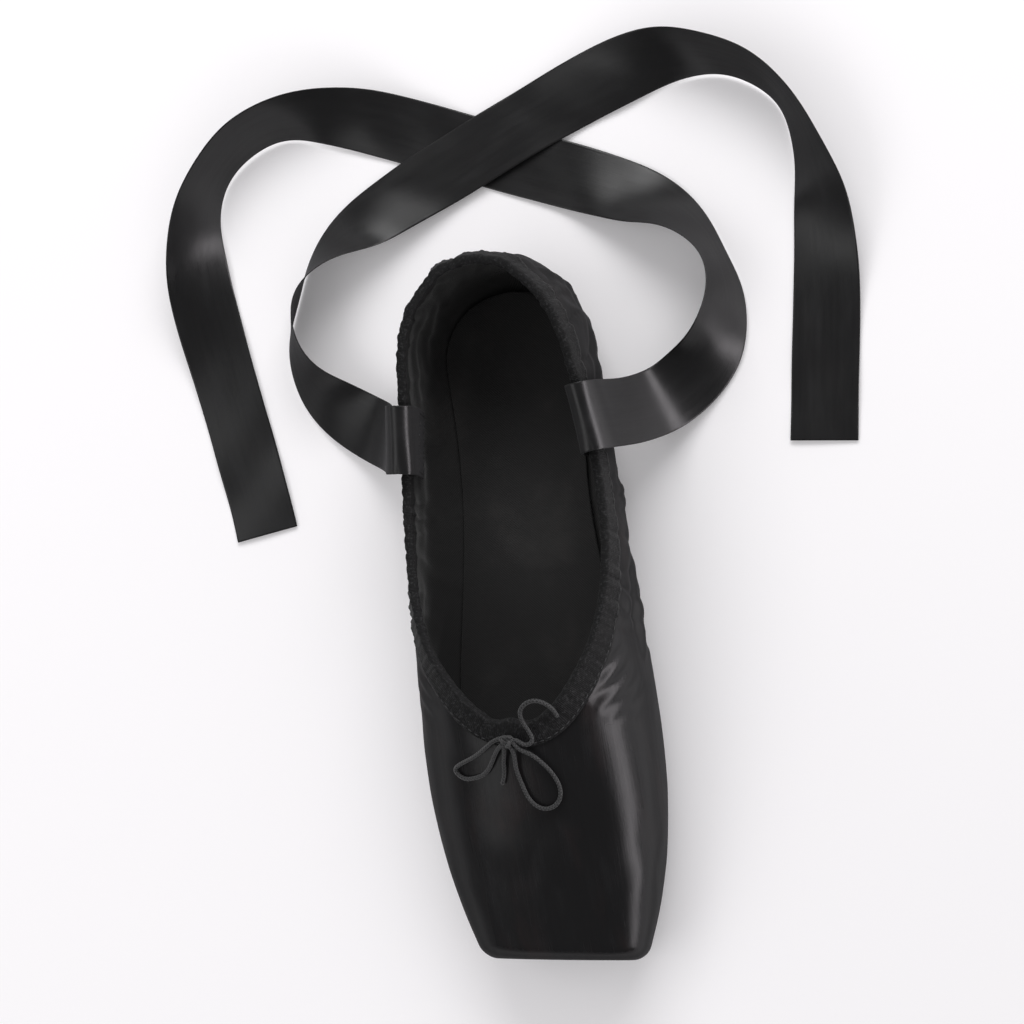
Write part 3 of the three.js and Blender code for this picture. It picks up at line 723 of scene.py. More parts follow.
@dataclass(frozen=True)
class SatinFinish:
    """Satin: long floating threads that give a soft lengthwise sheen, with faint warm and grey drifts.

    It is a little duller behind the box, where it isn't pulled tight.
    """

    name: str = "satin"
    base: Colour = (0.0098, 0.0095, 0.0101)
    warm: Colour = (0.0185, 0.0132, 0.0132)
    grey: Colour = (0.0145, 0.0142, 0.0154)
    rough: float = 0.25
    loose: float = 0.09
    thread: float = 0.28
    sheen: float = 0.02
    gloss: float = 0.25

    def material(self) -> bpy.types.Material:
        """Threads are noise drawn out along the cloth; two slow noises drift the colour."""
        paint = Paint(self.name)
        cloth = paint.cloth()
        threads = paint.noise(paint.scaled(cloth, 70.0, 1000.0 / self.thread), 1.0, 2.0, 0.6)
        slubs = paint.noise(paint.scaled(cloth, 28.0, 620.0), 1.0, 3.0, 0.55)
        weave = paint.noise(paint.scaled(cloth, 2600.0, 5200.0), 1.0, 1.0)
        drift = paint.noise(paint.scaled(cloth, 26.0, 60.0), 1.0, 3.0, 0.6)
        cloud = paint.noise(paint.scaled(cloth, 38.0, 110.0), 1.3, 2.0, 0.5)
        warm = paint.step(drift, 0.5, 0.74) * 0.75
        colour = paint.mix(warm, self.base, self.warm)
        colour = paint.mix(paint.step(cloud, 0.48, 0.78) * 0.55 + slubs * 0.16, colour, self.grey)
        rough = self.rough + (slubs - 0.5) * 0.16 + (cloud - 0.5) * 0.14
        rough = rough + paint.step(paint.axis(paint.place(), "Y"), -0.03, 0.01) * self.loose
        rough = rough + paint.step(paint.facing(), 0.2, 0.6) * 0.58
        normal = paint.bump(weave, 0.000012, paint.bump(threads, 0.00002, paint.bump(slubs, 0.000022)))
        return paint.finish(colour, rough, normal, Specular_IOR_Level=self.gloss, Sheen_Weight=self.sheen,
                            Sheen_Roughness=0.45, Sheen_Tint=(0.9, 0.88, 0.95, 1.0))


@dataclass(frozen=True)
class TapeFinish:
    """Cotton tape: fine ribs across the tape, matte, with painted highlights on the ribs."""

    name: str
    base: Colour = (0.0042, 0.0042, 0.0045)
    # Painted highlight: the paler colour given to the rib tops.
    ridge_highlight: Colour = (0.012, 0.0118, 0.0125)
    rib: float = 0.55
    rough: float = 0.82

    def material(self) -> bpy.types.Material:
        """Ribs are a sine along the tape, broken by noise; lint is a fine speckle."""
        paint = Paint(self.name)
        cloth = paint.cloth()
        wander = paint.noise(paint.scaled(cloth, 240.0, 240.0), 1.0, 2.0)
        ribs = paint.ribs(paint.axis(cloth, "X"), self.rib, wander * 5.0)
        yarn = paint.noise(paint.scaled(cloth, 2400.0, 900.0), 1.0, 3.0, 0.6)
        lint = paint.noise(paint.place(), 1150.0, 2.0, 0.75)
        height = ribs * 0.6 + yarn * 0.4
        # Painted highlight: the rib tops are painted paler, broken up by yarn noise.
        colour = paint.mix(paint.step(height, 0.35, 0.95) * 0.7, self.base, self.ridge_highlight)
        colour = paint.mix(paint.step(lint, 0.5, 0.7) * 0.7, colour, (0.036, 0.036, 0.0375))
        normal = paint.bump(height + lint * 0.8, 0.00015, paint.bump(wander, 0.00028))
        return paint.finish(colour, self.rough - yarn * 0.1, normal, Specular_IOR_Level=0.2,
                            Sheen_Weight=0.05, Sheen_Roughness=0.5)


@dataclass(frozen=True)
class BraidFinish:
    """Braided cord: two sets of strands that cross round the cord, with painted highlights on the strand
    tops.
    """

    name: str = "braid"
    base: Colour = (0.006, 0.006, 0.0063)
    # Painted highlight: the lighter colour given to the strand tops.
    ridge_highlight: Colour = (0.042, 0.042, 0.044)
    strand: float = 1.1

    def material(self) -> bpy.types.Material:
        """Each strand set is a slanted sine; the higher of the two is on top."""
        paint = Paint(self.name)
        cloth = paint.cloth()
        along, around = paint.axis(cloth, "X"), paint.axis(cloth, "Y")
        turn = 2000.0 * math.pi / self.strand
        left = ((along + around * 0.8) * turn).sine()
        right = ((along - around * 0.8) * turn).sine()
        height = paint.math("MAXIMUM", left, right) * 0.5 + 0.5
        fuzz = paint.noise(paint.place(), 2600.0, 3.0, 0.7)
        # Painted highlight: the higher strands are painted lighter, broken up by fuzz noise.
        colour = paint.mix(paint.step(height * 0.7 + fuzz * 0.45, 0.5, 1.05), self.base, self.ridge_highlight)
        normal = paint.bump(height, 0.00014, paint.bump(fuzz, 0.00006))
        return paint.finish(colour, 0.5 + fuzz * 0.2, normal, Specular_IOR_Level=0.4, Sheen_Weight=0.2)


@dataclass(frozen=True)
class TwillFinish:
    """Cotton twill: slanted ribs with painted highlights on their tops, matte, with faint rubbed patches."""

    name: str = "twill"
    base: Colour = (0.012, 0.0118, 0.012)
    # Painted highlight: the lighter colour given to the rib tops.
    ridge_highlight: Colour = (0.034, 0.033, 0.033)
    rib: float = 0.9

    def material(self) -> bpy.types.Material:
        """Ribs are a slanted sine with a wandering line; rubbed patches are slow noise."""
        paint = Paint(self.name)
        cloth = paint.cloth()
        along, across = paint.axis(cloth, "X"), paint.axis(cloth, "Y")
        wander = paint.noise(paint.scaled(cloth, 180.0, 180.0), 1.0, 2.0)
        ribs = paint.ribs(along + across, self.rib, wander * 3.0)
        yarn = paint.noise(paint.scaled(cloth, 1800.0, 1800.0), 1.0, 3.0, 0.65)
        rubbed = paint.noise(paint.place(), 38.0, 4.0, 0.6)
        height = ribs * 0.6 + yarn * 0.4
        # Painted highlight: the rib tops are painted lighter.
        colour = paint.mix(paint.step(height, 0.3, 0.95) * 0.6, self.base, self.ridge_highlight)
        colour = paint.mix(paint.step(rubbed, 0.45, 0.75) * 0.4, colour, (0.04, 0.038, 0.037))
        normal = paint.bump(height, 0.0001, paint.bump(rubbed, 0.0004))
        return paint.finish(colour, 0.92 - ribs * 0.06, normal, Specular_IOR_Level=0.25, Sheen_Weight=0.2)


@dataclass(frozen=True)
class LeatherFinish:
    """Buffed sole leather: pores and a nap, darker in worn patches, scuffed along the foot."""

    name: str = "sole_leather"
    base: Colour = (0.05, 0.038, 0.03)
    dark: Colour = (0.022, 0.017, 0.014)
    pale: Colour = (0.10, 0.082, 0.068)

    def material(self) -> bpy.types.Material:
        """Grain is cell noise, scuffs are noise drawn out along the sole."""
        paint = Paint(self.name)
        place = paint.place()
        cells = paint.node("ShaderNodeTexVoronoi", {"feature": "DISTANCE_TO_EDGE"},
                           {"Vector": place, "Scale": 900.0})
        grain = paint.step(Field(paint, cells.outputs["Distance"]), 0.0, 0.22)
        nap = paint.noise(place, 1400.0, 3.0, 0.7)
        scuff = paint.noise(paint.scaled(place, 900.0, 60.0, 300.0), 1.0, 3.0, 0.6)
        wear = paint.noise(place, 22.0, 3.0, 0.55)
        colour = paint.mix(paint.step(wear, 0.38, 0.7) * 0.8, self.base, self.dark)
        colour = paint.mix(paint.step(scuff, 0.6, 0.82) * 0.55, colour, self.pale)
        colour = paint.mix((1.0 - grain) * 0.5, colour, self.dark)
        normal = paint.bump(grain, 0.00008, paint.bump(nap, 0.00006, paint.bump(scuff, 0.00005)))
        return paint.finish(colour, 0.62 + nap * 0.25, normal, Specular_IOR_Level=0.35)


@dataclass(frozen=True)
class ThreadFinish:
    """Sewing thread: two plies twisted together, slightly shiny, with painted highlights on the plies."""

    name: str = "thread"
    base: Colour = (0.012, 0.012, 0.0125)
    # Painted highlight: the lighter colour given to the ply crests.
    ridge_highlight: Colour = (0.05, 0.05, 0.053)
    ply: float = 0.5

    def material(self) -> bpy.types.Material:
        """The ply is a slanted sine along and round the stitch."""
        paint = Paint(self.name)
        cloth = paint.cloth()
        along, around = paint.axis(cloth, "X"), paint.axis(cloth, "Y")
        ply = paint.ribs(along + around, self.ply)
        fuzz = paint.noise(paint.place(), 3000.0, 2.0)
        # Painted highlight: the ply crests are painted lighter, broken up by fuzz noise.
        colour = paint.mix(ply * 0.7 + fuzz * 0.3, self.base, self.ridge_highlight)
        return paint.finish(colour, 0.45 + fuzz * 0.2, paint.bump(ply, 0.00005), Specular_IOR_Level=0.4)


@dataclass(frozen=True)
class FloorFinish:
    """Plain pale studio floor with the faintest mottle."""

    name: str = "floor"
    pale: Colour = (0.9, 0.885, 0.9)
    shade: Colour = (0.88, 0.865, 0.885)
    glow: Colour = (0.12, 0.118, 0.12)
    far_glow: Colour = (0.52, 0.51, 0.52)

    def material(self) -> bpy.types.Material:
        """A very slow noise between two nearly equal tones; a metre away and more it fills with light."""
        paint = Paint(self.name)
        drift = paint.noise(paint.place(), 3.0, 2.0)
        colour = paint.mix(drift, self.pale, self.shade)
        normal = paint.bump(paint.noise(paint.place(), 300.0, 2.0), 0.00001)
        x, y = paint.axis(paint.place(), "X"), paint.axis(paint.place(), "Y")
        glow = paint.mix(paint.step(x * x + y * y, 0.6, 3.4), self.glow, self.far_glow)
        return paint.finish(colour, 0.9, normal, Specular_IOR_Level=0.0,
                            Emission_Color=glow, Emission_Strength=1.0)


# ---------------------------------------------------------------- studio


@dataclass(frozen=True)
class Viewpoint:
    """The camera: above the instep, turned towards the big-toe side, heel end leaning left."""

    side_turn: float = 15.0
    heel_turn: float = -4.5
    roll: float = 5.5
    lens: float = 100.0
    distance: float = 965.0
    target: Triple = (-3.0, 33.0, 20.0)

    def build(self) -> bpy.types.Object:
        """Makes the camera and sets it as the scene's.

        Returns:
            The camera.
        """
        side, heel, roll = (math.radians(a) for a in (self.side_turn, self.heel_turn, self.roll))
        back = Vector((math.sin(side), math.sin(heel) * math.cos(side), math.cos(heel) * math.cos(side)))
        back.normalize()
        right = Vector((0.0, 1.0, 0.0)).cross(back).normalized()
        up = back.cross(right)
        top = up * math.cos(roll) + right * math.sin(roll)
        across = right * math.cos(roll) - up * math.sin(roll)
        spot = (Vector(self.target) + back * self.distance) * MM
        data = bpy.data.cameras.new("camera")
        data.lens = self.lens
        data.clip_start, data.clip_end = 0.05, 30.0
        camera = bpy.data.objects.new("camera", data)
        camera.matrix_world = Matrix((
            (across.x, top.x, back.x, spot.x),
            (across.y, top.y, back.y, spot.y),
            (across.z, top.z, back.z, spot.z),
            (0.0, 0.0, 0.0, 1.0),
        ))
        bpy.context.scene.collection.objects.link(camera)
        bpy.context.scene.camera = camera
        return camera


@dataclass(frozen=True)
class SoftBox:
    """A soft rectangular lamp, aimed at a point of the shoe."""

    name: str
    width: float
    height: float
    spot: Triple
    aim: Triple
    watts: float
    seen_by: tuple[str, ...] = ("diffuse", "glossy")
    tint: Colour = (1.0, 1.0, 1.0)

    def build(self) -> None:
        """Makes the lamp; it lights the scene but isn't seen itself."""
        data = bpy.data.lights.new(self.name, "AREA")
        data.shape, data.size, data.size_y = "RECTANGLE", self.width, self.height
        data.energy, data.color = self.watts, self.tint
        lamp = bpy.data.objects.new(self.name, data)
        lamp.location = self.spot
        lamp.rotation_euler = (Vector(self.spot) - Vector(self.aim)).to_track_quat("Z", "Y").to_euler()
        lamp.visible_camera = False
        lamp.visible_diffuse = "diffuse" in self.seen_by
        lamp.visible_glossy = "glossy" in self.seen_by
        bpy.context.scene.collection.objects.link(lamp)


@dataclass(frozen=True)
class Studio:
    """Pale floor, pale surroundings and soft boxes: one long, low box on the big-toe side, for gloss only."""

    boxes: tuple[SoftBox, ...] = (
        SoftBox("strip_big_toe_side", 1.3, 0.24, (0.62, 0.0, 0.21), (0.0, 0.0, 0.03), 5.6, ("glossy",),
                (1.0, 0.95, 0.985)),
        SoftBox("box_little_toe_side", 1.1, 0.45, (-0.62, -0.1, 0.8), (0.0, 0.0, 0.02), 2.0),
        SoftBox("box_heel", 1.3, 0.6, (0.25, 1.1, 0.9), (0.0, 0.05, 0.02), 12.5),
        SoftBox("box_toe", 1.4, 0.7, (0.1, -1.2, 1.0), (0.0, -0.05, 0.02), 2.5, ("diffuse",)),
    )
    walls: float = 0.1
    ambient: float = 0.45
    backdrop: float = 0.95
    tint: tuple[float, float, float, float] = (1.0, 0.993, 1.0, 1.0)
    reach: float = 8.0

    def build(self) -> None:
        """Makes the floor, the surroundings and the lamps."""
        mesh = bpy.data.meshes.new("floor")
        corners = [(x * self.reach, y * self.reach, 0.0) for x, y in ((-1, -1), (1, -1), (1, 1), (-1, 1))]
        mesh.from_pydata(corners, [], [(0, 1, 2, 3)])
        mesh.materials.append(FloorFinish().material())
        floor = bpy.data.objects.new("floor", mesh)
        bpy.context.scene.collection.objects.link(floor)
        self.surround()
        for box in self.boxes:
            box.build()
        bpy.context.scene.view_settings.view_transform = "Standard"

    def surround(self) -> None:
        """Makes the surroundings: dim where they are mirrored, brighter as fill and as the backdrop."""
        world = bpy.data.worlds.new("surroundings")
        bpy.context.scene.world = world
        world.use_nodes = True
        nodes, links = world.node_tree.nodes, world.node_tree.links
        nodes.clear()
        path = nodes.new("ShaderNodeLightPath")
        seen = self.glow(nodes, self.walls)
        for ray, strength in (("Is Diffuse Ray", self.ambient), ("Is Camera Ray", self.backdrop)):
            mix = nodes.new("ShaderNodeMixShader")
            links.new(path.outputs[ray], mix.inputs[0])
            links.new(seen, mix.inputs[1])
            links.new(self.glow(nodes, strength), mix.inputs[2])
            seen = mix.outputs[0]
        links.new(seen, nodes.new("ShaderNodeOutputWorld").inputs[0])

    def glow(self, nodes: bpy.types.Nodes, strength: float) -> Socket:
        """An even light of the surroundings' colour."""
        shade = nodes.new("ShaderNodeBackground")
        shade.inputs[0].default_value = self.tint
        shade.inputs[1].default_value = strength
        return shade.outputs[0]


# ---------------------------------------------------------------- the upper


@dataclass(frozen=True)
class Drape:
    """How the satin stands off the last: gathers below the collar, listed creases and toe pleats.

    Heights are along the outward normal. `t` is the distance along the collar edge from the middle of
    the throat and `d` the distance away from that edge.
    """

    side: Side
    seed: int = 7
    # Main creases: station and distance below the collar or crown of their start, middle and end,
    # then depth (a ridge if negative) and half width.
    creases: tuple[tuple[float, ...], ...] = ()
    gather_from: float = 34.0
    gather_full: float = 62.0
    gather_height: float = 1.0
    heel_height: float = 1.9
    fold_pitch: float = 7.0
    heel_extra_pitch: float = 5.5
    puffs_end: tuple[float, float] = (14.0, 34.0)
    wander: Waves = ((31.0, 0.22, 0.4), (13.7, 0.12, 2.0))
    broad: Waves = ((19.0, 0.5, 1.0), (29.0, 0.35, 0.2), (9.7, 0.26, 0.7), (6.3, 0.14, 2.2))
    broad_begins: tuple[float, float] = (10.0, 24.0)
    broad_ends: tuple[float, float] = (36.0, 48.0)
    shoulder: float = 0.42
    shoulder_off: float = 1.9
    shoulder_width: float = 0.9
    pleat_centre: float = 44.0
    pleat_angle: float = 0.135
    pleat_height: float = 0.62
    pleat_lean: float = 0.78
    swell_along: Waves = ((37.0, 0.10, 0.3), (23.0, 0.07, 1.9))
    swell_round: Waves = ((31.0, 1.0, 0.8), (19.0, 0.6, 0.1))

    @cached_property
    def edge(self) -> tuple[Array, Array]:
        """Points of the collar edge on the big-toe side and their distance from the throat's middle."""
        share = np.linspace(0.0, 1.0, 420)
        station = LAST.throat + (LAST.end - LAST.throat) * share ** 1.6
        line = LAST.point(station, LAST.collar_angle(station))
        return line, run_lengths(line)

    def along_edge(self, points: Array) -> tuple[Array, Array]:
        """Collar coordinates of points.

        The nearest point of the edge gives t; the straight distance to it gives d.

        Args:
            points: Points on the big-toe side, xyz last.

        Returns:
            t and d.
        """
        line, run = self.edge
        flat = points.reshape(-1, 3)
        t, d = np.empty(len(flat)), np.empty(len(flat))
        for start in range(0, len(flat), 4096):
            part = flat[start:start + 4096]
            gap = np.linalg.norm(part[:, None] - line[None], axis=2)
            near = gap.argmin(axis=1)
            t[start:start + 4096] = run[near]
            d[start:start + 4096] = gap[np.arange(len(part)), near]
        return t.reshape(points.shape[:-1]), d.reshape(points.shape[:-1])

    def pitch(self, share: Array) -> Array:
        """Distance between two folds at shares of the way to the heel; wider at the heel."""
        return self.fold_pitch + self.heel_extra_pitch * ease(0.55, 0.95, share)

    def passed(self, t: Array, d: Array) -> Array:
        """Number of folds between the throat and a place; they wander as they run down.

        Args:
            t: Distance along the collar.
            d: Distance below it.

        Returns:
            The number, with its fraction.
        """
        total = self.edge[1][-1]
        steps = np.linspace(0.0, total, 800)
        count = np.interp(t, steps, np.cumsum(1.0 / self.pitch(steps / total)) * steps[1])
        count = count + ripple(t, self.wander)
        return count + 0.16 * np.sin(d / 5.3 + 1.7 * np.sin(count * 1.3)) * ease(4.0, 16.0, d)

    def gathers(self, t: Array, d: Array) -> Array:
        """Puffs between the folds that the drawstring pulls in.

        Between two folds the height is |sin| ^ 0.9 of the share of the way, times a height drawn for
        each puff. The puffs die out below, over broader slow waves, and have finer folds near the collar.

        Args:
            t: Distance along the collar.
            d: Distance below it.

        Returns:
            Heights.
        """
        total = self.edge[1][-1]
        share, count = t / total, self.passed(t, d)
        rng = np.random.default_rng(self.seed + (self.side is Side.LITTLE_TOE) * 50)
        heights = 0.55 + 0.75 * rng.random(PUFFS)
        own_height = heights[np.clip(np.floor(count), 0, PUFFS - 1).astype(int)]
        puff = np.abs(np.sin(np.pi * count)) ** 0.9 * own_height - 0.52
        begun = ease(self.gather_from, self.gather_full, t)
        size = self.gather_height * begun + (self.heel_height - self.gather_height) * ease(0.72, 0.93, share)
        size = size * (1.0 - 0.85 * ease(total - 6.0, total - 0.5, t))
        fade = (0.35 + 0.65 * ease(1.0, 9.0, d)) * (1.0 - ease(*self.puffs_end, d))
        broad = ripple(t + 0.35 * d, self.broad)
        broad = broad * ease(*self.broad_begins, d) * (1.0 - ease(*self.broad_ends, d))
        fine = np.abs(np.sin(np.pi * (count * 2.6 + 0.3))) - 0.6
        fine = fine * 0.2 * (1.0 - ease(6.0, 15.0, d)) * ease(26.0, 60.0, t) * self.pitch(share) / 9.0
        return size * (fade * puff + 0.62 * broad * begun) + fine

    def folds(self, points: Array) -> Array:
        """Listed creases.

        A crease is a smooth line through its three places. Its profile across is a bell of its depth with
        a half-height shoulder of the other sign to each side; it fades towards both ends as 1 - s^4.

        Args:
            points: Points on the big-toe side.

        Returns:
            Heights.
        """
        flat = points.reshape(-1, 3)
        made = np.zeros(len(flat))
        share = np.linspace(-1.0, 1.0, 41)
        for row in self.creases:
            places, (depth, width) = np.array(row[:6]).reshape(3, 2), row[6:]
            bend = (places[0] + places[2]) / 2.0 - places[1]
            route = places[1] + np.outer(share, (places[2] - places[0]) / 2.0) + np.outer(share**2, bend)
            line = LAST.below_collar(route[:, 0], route[:, 1])
            low, high = line.min(axis=0) - 4.0 * width, line.max(axis=0) + 4.0 * width
            near = np.flatnonzero(((flat > low) & (flat < high)).all(axis=1))
            if not len(near):
                continue
            gap = np.linalg.norm(flat[near][:, None] - line[None], axis=2)
            closest = gap.argmin(axis=1)
            off = gap[np.arange(len(near)), closest] / width
            fade = 1.0 - np.abs(share[closest]) ** 4
            beside = self.shoulder * bell(off, self.shoulder_off, self.shoulder_width)
            made[near] -= depth * fade * (np.exp(-off**2) - beside)
        return made.reshape(points.shape[:-1])

    def pleats(self, points: Array) -> Array:
        """Pleats that fan under the toe from the front of the sole.

        Around a point under the waist of the toe the height is a slanted saw of the bearing; it grows on
        the way out to the platform's edge and dies on the sides above it.

        Args:
            points: Points on the big-toe side.

        Returns:
            Heights.
        """
        x, y, z = np.moveaxis(points, -1, 0)
        at = y + LAST.length / 2.0
        ahead = self.pleat_centre - at
        bearing = np.arctan2(x, ahead)
        count = bearing / self.pleat_angle + 0.5 + 0.12 * np.sin(bearing * 9.0)
        share = count - np.floor(count)
        saw = np.minimum(share / self.pleat_lean, (1.0 - share) / (1.0 - self.pleat_lean))
        far = np.hypot(x, ahead)
        under = 1.0 - ease(4.5, 10.5, z + 0.5 * ripple(bearing, ((0.35, 1.0, 0.6),)))
        reach = ease(7.0, 14.0, far) * (1.0 - ease(34.0, 52.0, at))
        return self.pleat_height * under * reach * (saw - 0.75)

    def swell(self, points: Array) -> Array:
        """The slow unevenness of paste-stiffened cloth over the box and the sides."""
        x, y, z = np.moveaxis(points, -1, 0)
        along, around = ripple(y + 0.3 * z, self.swell_along), ripple(z - 0.4 * x, self.swell_round)
        return along * around * ease(0.0, 3.0, np.abs(x))

    def height(self, points: Array, t: Array, d: Array) -> Array:
        """Height of the satin over the last.

        Args:
            points: Points of the last's outer face on the big-toe side.
            t: Distance along the collar.
            d: Distance away from it.

        Returns:
            The sum of the gathers, the creases, the pleats and the swell. The last row of the heel seam
            and the middle of the toe are the same on both sides.
        """
        off_middle = ease(0.0, 2.5, points[..., 0])
        return (self.gathers(t, d) + self.folds(points) * off_middle + self.pleats(points)
                + self.swell(points) * off_middle) * (0.15 + 0.85 * off_middle)


BIG_TOE_CREASES = (
    (105, 15, 99, 10.5, 94, 7.5, 0.5, 1.6), (98, 21, 92, 15.5, 87, 10.5, 0.6, 1.9),
    (95, 28, 89, 22.5, 84, 17, 0.55, 1.8), (93, 34, 87, 29, 82, 24, 0.4, 1.8),
    (100, 34, 109, 28, 121, 27, -0.8, 2.6), (103, 40, 113, 35, 126, 34, 0.9, 2.5),
    (108, 22, 117, 20, 130, 21, 0.8, 2.2), (98, 46, 106, 47, 116, 50, 0.5, 2.4),
    (118, 15, 128, 19, 139, 26, 0.45, 2.2), (134, 30, 144, 27, 158, 29, 0.4, 2.8),
    (150, 16, 162, 21, 172, 29, 0.4, 2.4), (158, 36, 176, 33, 194, 36, 0.4, 3.0),
    (126, 41, 138, 43, 150, 40, -0.4, 3.0), (186, 20, 203, 25, 216, 31, 0.6, 2.6),
    (208, 38, 220, 35, 234, 36, 0.5, 2.8),
)
LITTLE_TOE_CREASES = (
    (103, 16, 97, 12, 91, 9, 0.4, 1.7), (97, 22, 91, 17, 86, 13, 0.4, 1.8),
    (94, 29, 88, 25, 83, 21, 0.3, 1.8), (101, 34, 110, 29, 122, 28, -0.6, 2.6),
    (105, 40, 115, 36, 128, 35, 0.7, 2.4), (110, 22, 119, 20.5, 132, 21, 0.6, 2.2),
    (140, 20, 160, 21, 180, 23, 0.6, 2.3), (154, 33, 174, 31, 194, 34, 0.5, 2.6),
    (190, 24, 208, 22, 226, 25, 0.8, 2.4), (204, 38, 218, 35, 232, 36, 0.6, 2.4),
)
DRAPES = {
    Side.BIG_TOE: Drape(Side.BIG_TOE, creases=BIG_TOE_CREASES, gather_height=0.9),
    Side.LITTLE_TOE: Drape(Side.LITTLE_TOE, creases=LITTLE_TOE_CREASES, gather_height=0.85),
}


def inside(rise: Array) -> Array:
    """How far the lining follows the satin's folds."""
    return np.minimum(rise * 0.7, 0.5)


@dataclass
class Upper:
    """The satin outside and the cotton lining, each a closed shell open at the collar and underneath."""

    satin: bpy.types.Material
    lining: bpy.types.Material
    side_columns: int = 62
    under_columns: int = 18
    platform_rings: int = 16
    platform_radius: float = 27.0
    satin_thick: float = 0.6
    paste: float = 0.15
    lining_flat: float = 14.0

    @cached_property
    def stations(self) -> Array:
        """Stations of the rows: fine round the platform's edge, at the throat and at the heel."""
        last = LAST
        toe = last.toe_round * (1.0 - np.cos(np.linspace(0.0, np.pi / 2.0, 11)))
        box = np.arange(last.toe_round + 0.8, last.throat - 0.4, 0.85)
        throat = last.throat + 14.0 * np.linspace(0.0, 1.0, 25) ** 2
        quarter = np.arange(last.throat + 14.8, last.heel_start, 0.78)
        heel = np.linspace(last.heel_start, last.end, 74)
        marks = [last.opening_from, last.opening_from + 0.02, last.opening_from + 0.3]
        turn = math.asin((last.opening_to - last.heel_start) / last.heel_reach)
        close = last.heel_start + last.heel_reach * turn
        return np.unique(np.concatenate([toe, box, throat, quarter, heel, marks, [close - 0.02, close]]))

    @cached_property
    def shares(self) -> Array:
        """Sizes of the platform's rings, as shares of its outline."""
        return np.linspace(0.0, 1.0, self.platform_rings + 1)[:-1]

    def grid(self) -> Array:
        """Points of the last's outer face on the big-toe side.

        Each row is spread evenly by length between its collar, margin and opening angles. Rings like the
        first row, drawn in towards the middle, fill the platform.

        Returns:
            The points.
        """
        s = self.stations
        share = np.linspace(0.0, 1.0, 121)[None, :]
        limits = (LAST.collar_angle(s), LAST.margin_angle(s), LAST.opening_angle(s))
        parts = []
        for start, end, count in ((0, 1, self.side_columns), (1, 2, self.under_columns)):
            angle = limits[start][:, None] + (limits[end] - limits[start])[:, None] * share
            line = LAST.point(s[:, None], angle)
            parts.append(np.array([resampled(row, count + 1) for row in line]))
        points = np.concatenate([parts[0], parts[1][:, 1:]], axis=1)
        middle = LAST.point(0.0, 0.0) * np.array([0.0, 1.0, 1.0])
        face = middle + (points[0] - middle)[None] * self.shares[:, None, None]
        points = np.concatenate([face, points], axis=0)
        points[np.abs(points) < 1e-5] = 0.0
        return points

    def threads(self, points: Array) -> Array:
        """Cloth coordinates of the grid.

        On the platform the threads run straight down and turn into the sides' only near its edge. Behind
        the throat they run along the widest line.

        Args:
            points: The grid.

        Returns:
            Distance along the threads and across them.
        """
        s, rings = self.stations, self.platform_rings
        along = np.concatenate([-self.platform_radius * (1.0 - self.shares), s])
        girth = girths(points)
        body = zip(LAST.section(s)["wide"], points[rings:, :, 2], girth[rings:])
        to_widest = np.array([np.interp(-wide, -height, run) for wide, height, run in body])
        at_throat = np.interp(LAST.throat, s, to_widest)
        girth[rings:] += np.where(s > LAST.throat, at_throat - to_widest, 0.0)[:, None]
        cloth = np.stack([np.broadcast_to(along[:, None], girth.shape), girth], axis=-1)
        straight = np.stack([points[:rings, :, 2] - points[rings, 0, 2], points[:rings, :, 0]], axis=-1)
        turned = ease(0.7, 1.0, self.shares)[:, None, None]
        cloth[:rings] = straight + (cloth[:rings] - straight) * turned
        return cloth

    def normals(self, points: Array) -> Array:
        """Outward normals of the grid, from its own differences; in the middle plane they have no x."""
        out = unit(np.cross(np.gradient(points, axis=1), np.gradient(points, axis=0)))
        rings = self.platform_rings
        lean = unit(np.array([0.0, -1.0, LAST.toe_tilt]))
        out[:rings] = lean
        flat = points[..., 0] < 1e-6
        flat[-1] = True
        out[flat] = unit(out[flat] * np.array([0.0, 1.0, 1.0]))
        weight = np.zeros((len(out), 1, 1))
        weight[rings:rings + 2, 0, 0] = (0.55, 0.2)
        return unit(out * (1.0 - weight) + lean * weight)

    def shell(self, name: str, front: tuple[Array, ...], back: tuple[Array, ...],
              cloth: tuple[Array, Array], facing_in: bool) -> Skin:
        """Sews a front face and a coarser back face of both sides into one closed shell.

        The rims run only along rows where the collar or the underside is open.

        Args:
            name: Piece name.
            front: Front grids of the big-toe side and the little-toe side, both as if on the big-toe side.
            back: Back grids in the same order.
            cloth: Cloth coordinates of the front and of the back.
            facing_in: Whether the front faces into the shoe.

        Returns:
            The skin.
        """
        rings = self.platform_rings
        s = np.concatenate([np.full(rings, -1.0), self.stations])
        throat = int(np.searchsorted(s, LAST.throat))
        at = LAST.section(s)["at"]
        opened = np.flatnonzero((at > LAST.opening_from) & (at < LAST.opening_to))
        under = slice(opened[0] - 1, opened[-1] + 2)
        skin = Skin(name)
        for k, side in enumerate(Side):
            pairs = (front[k], back[k]), cloth
            rim = Patch(*(np.stack([b[throat:, 0], f[throat:, 0]], axis=1) for f, b in pairs))
            margin = Patch(*(np.stack([f[under, -1], b[under, -1]], axis=1) for f, b in pairs))
            made = [Patch(front[k], cloth[0]), Patch(back[k], cloth[1]).flipped(), rim, margin]
            if not facing_in:
                made = [patch.flipped() for patch in made]
            skin.patches += [patch.on(side) for patch in made]
        return skin

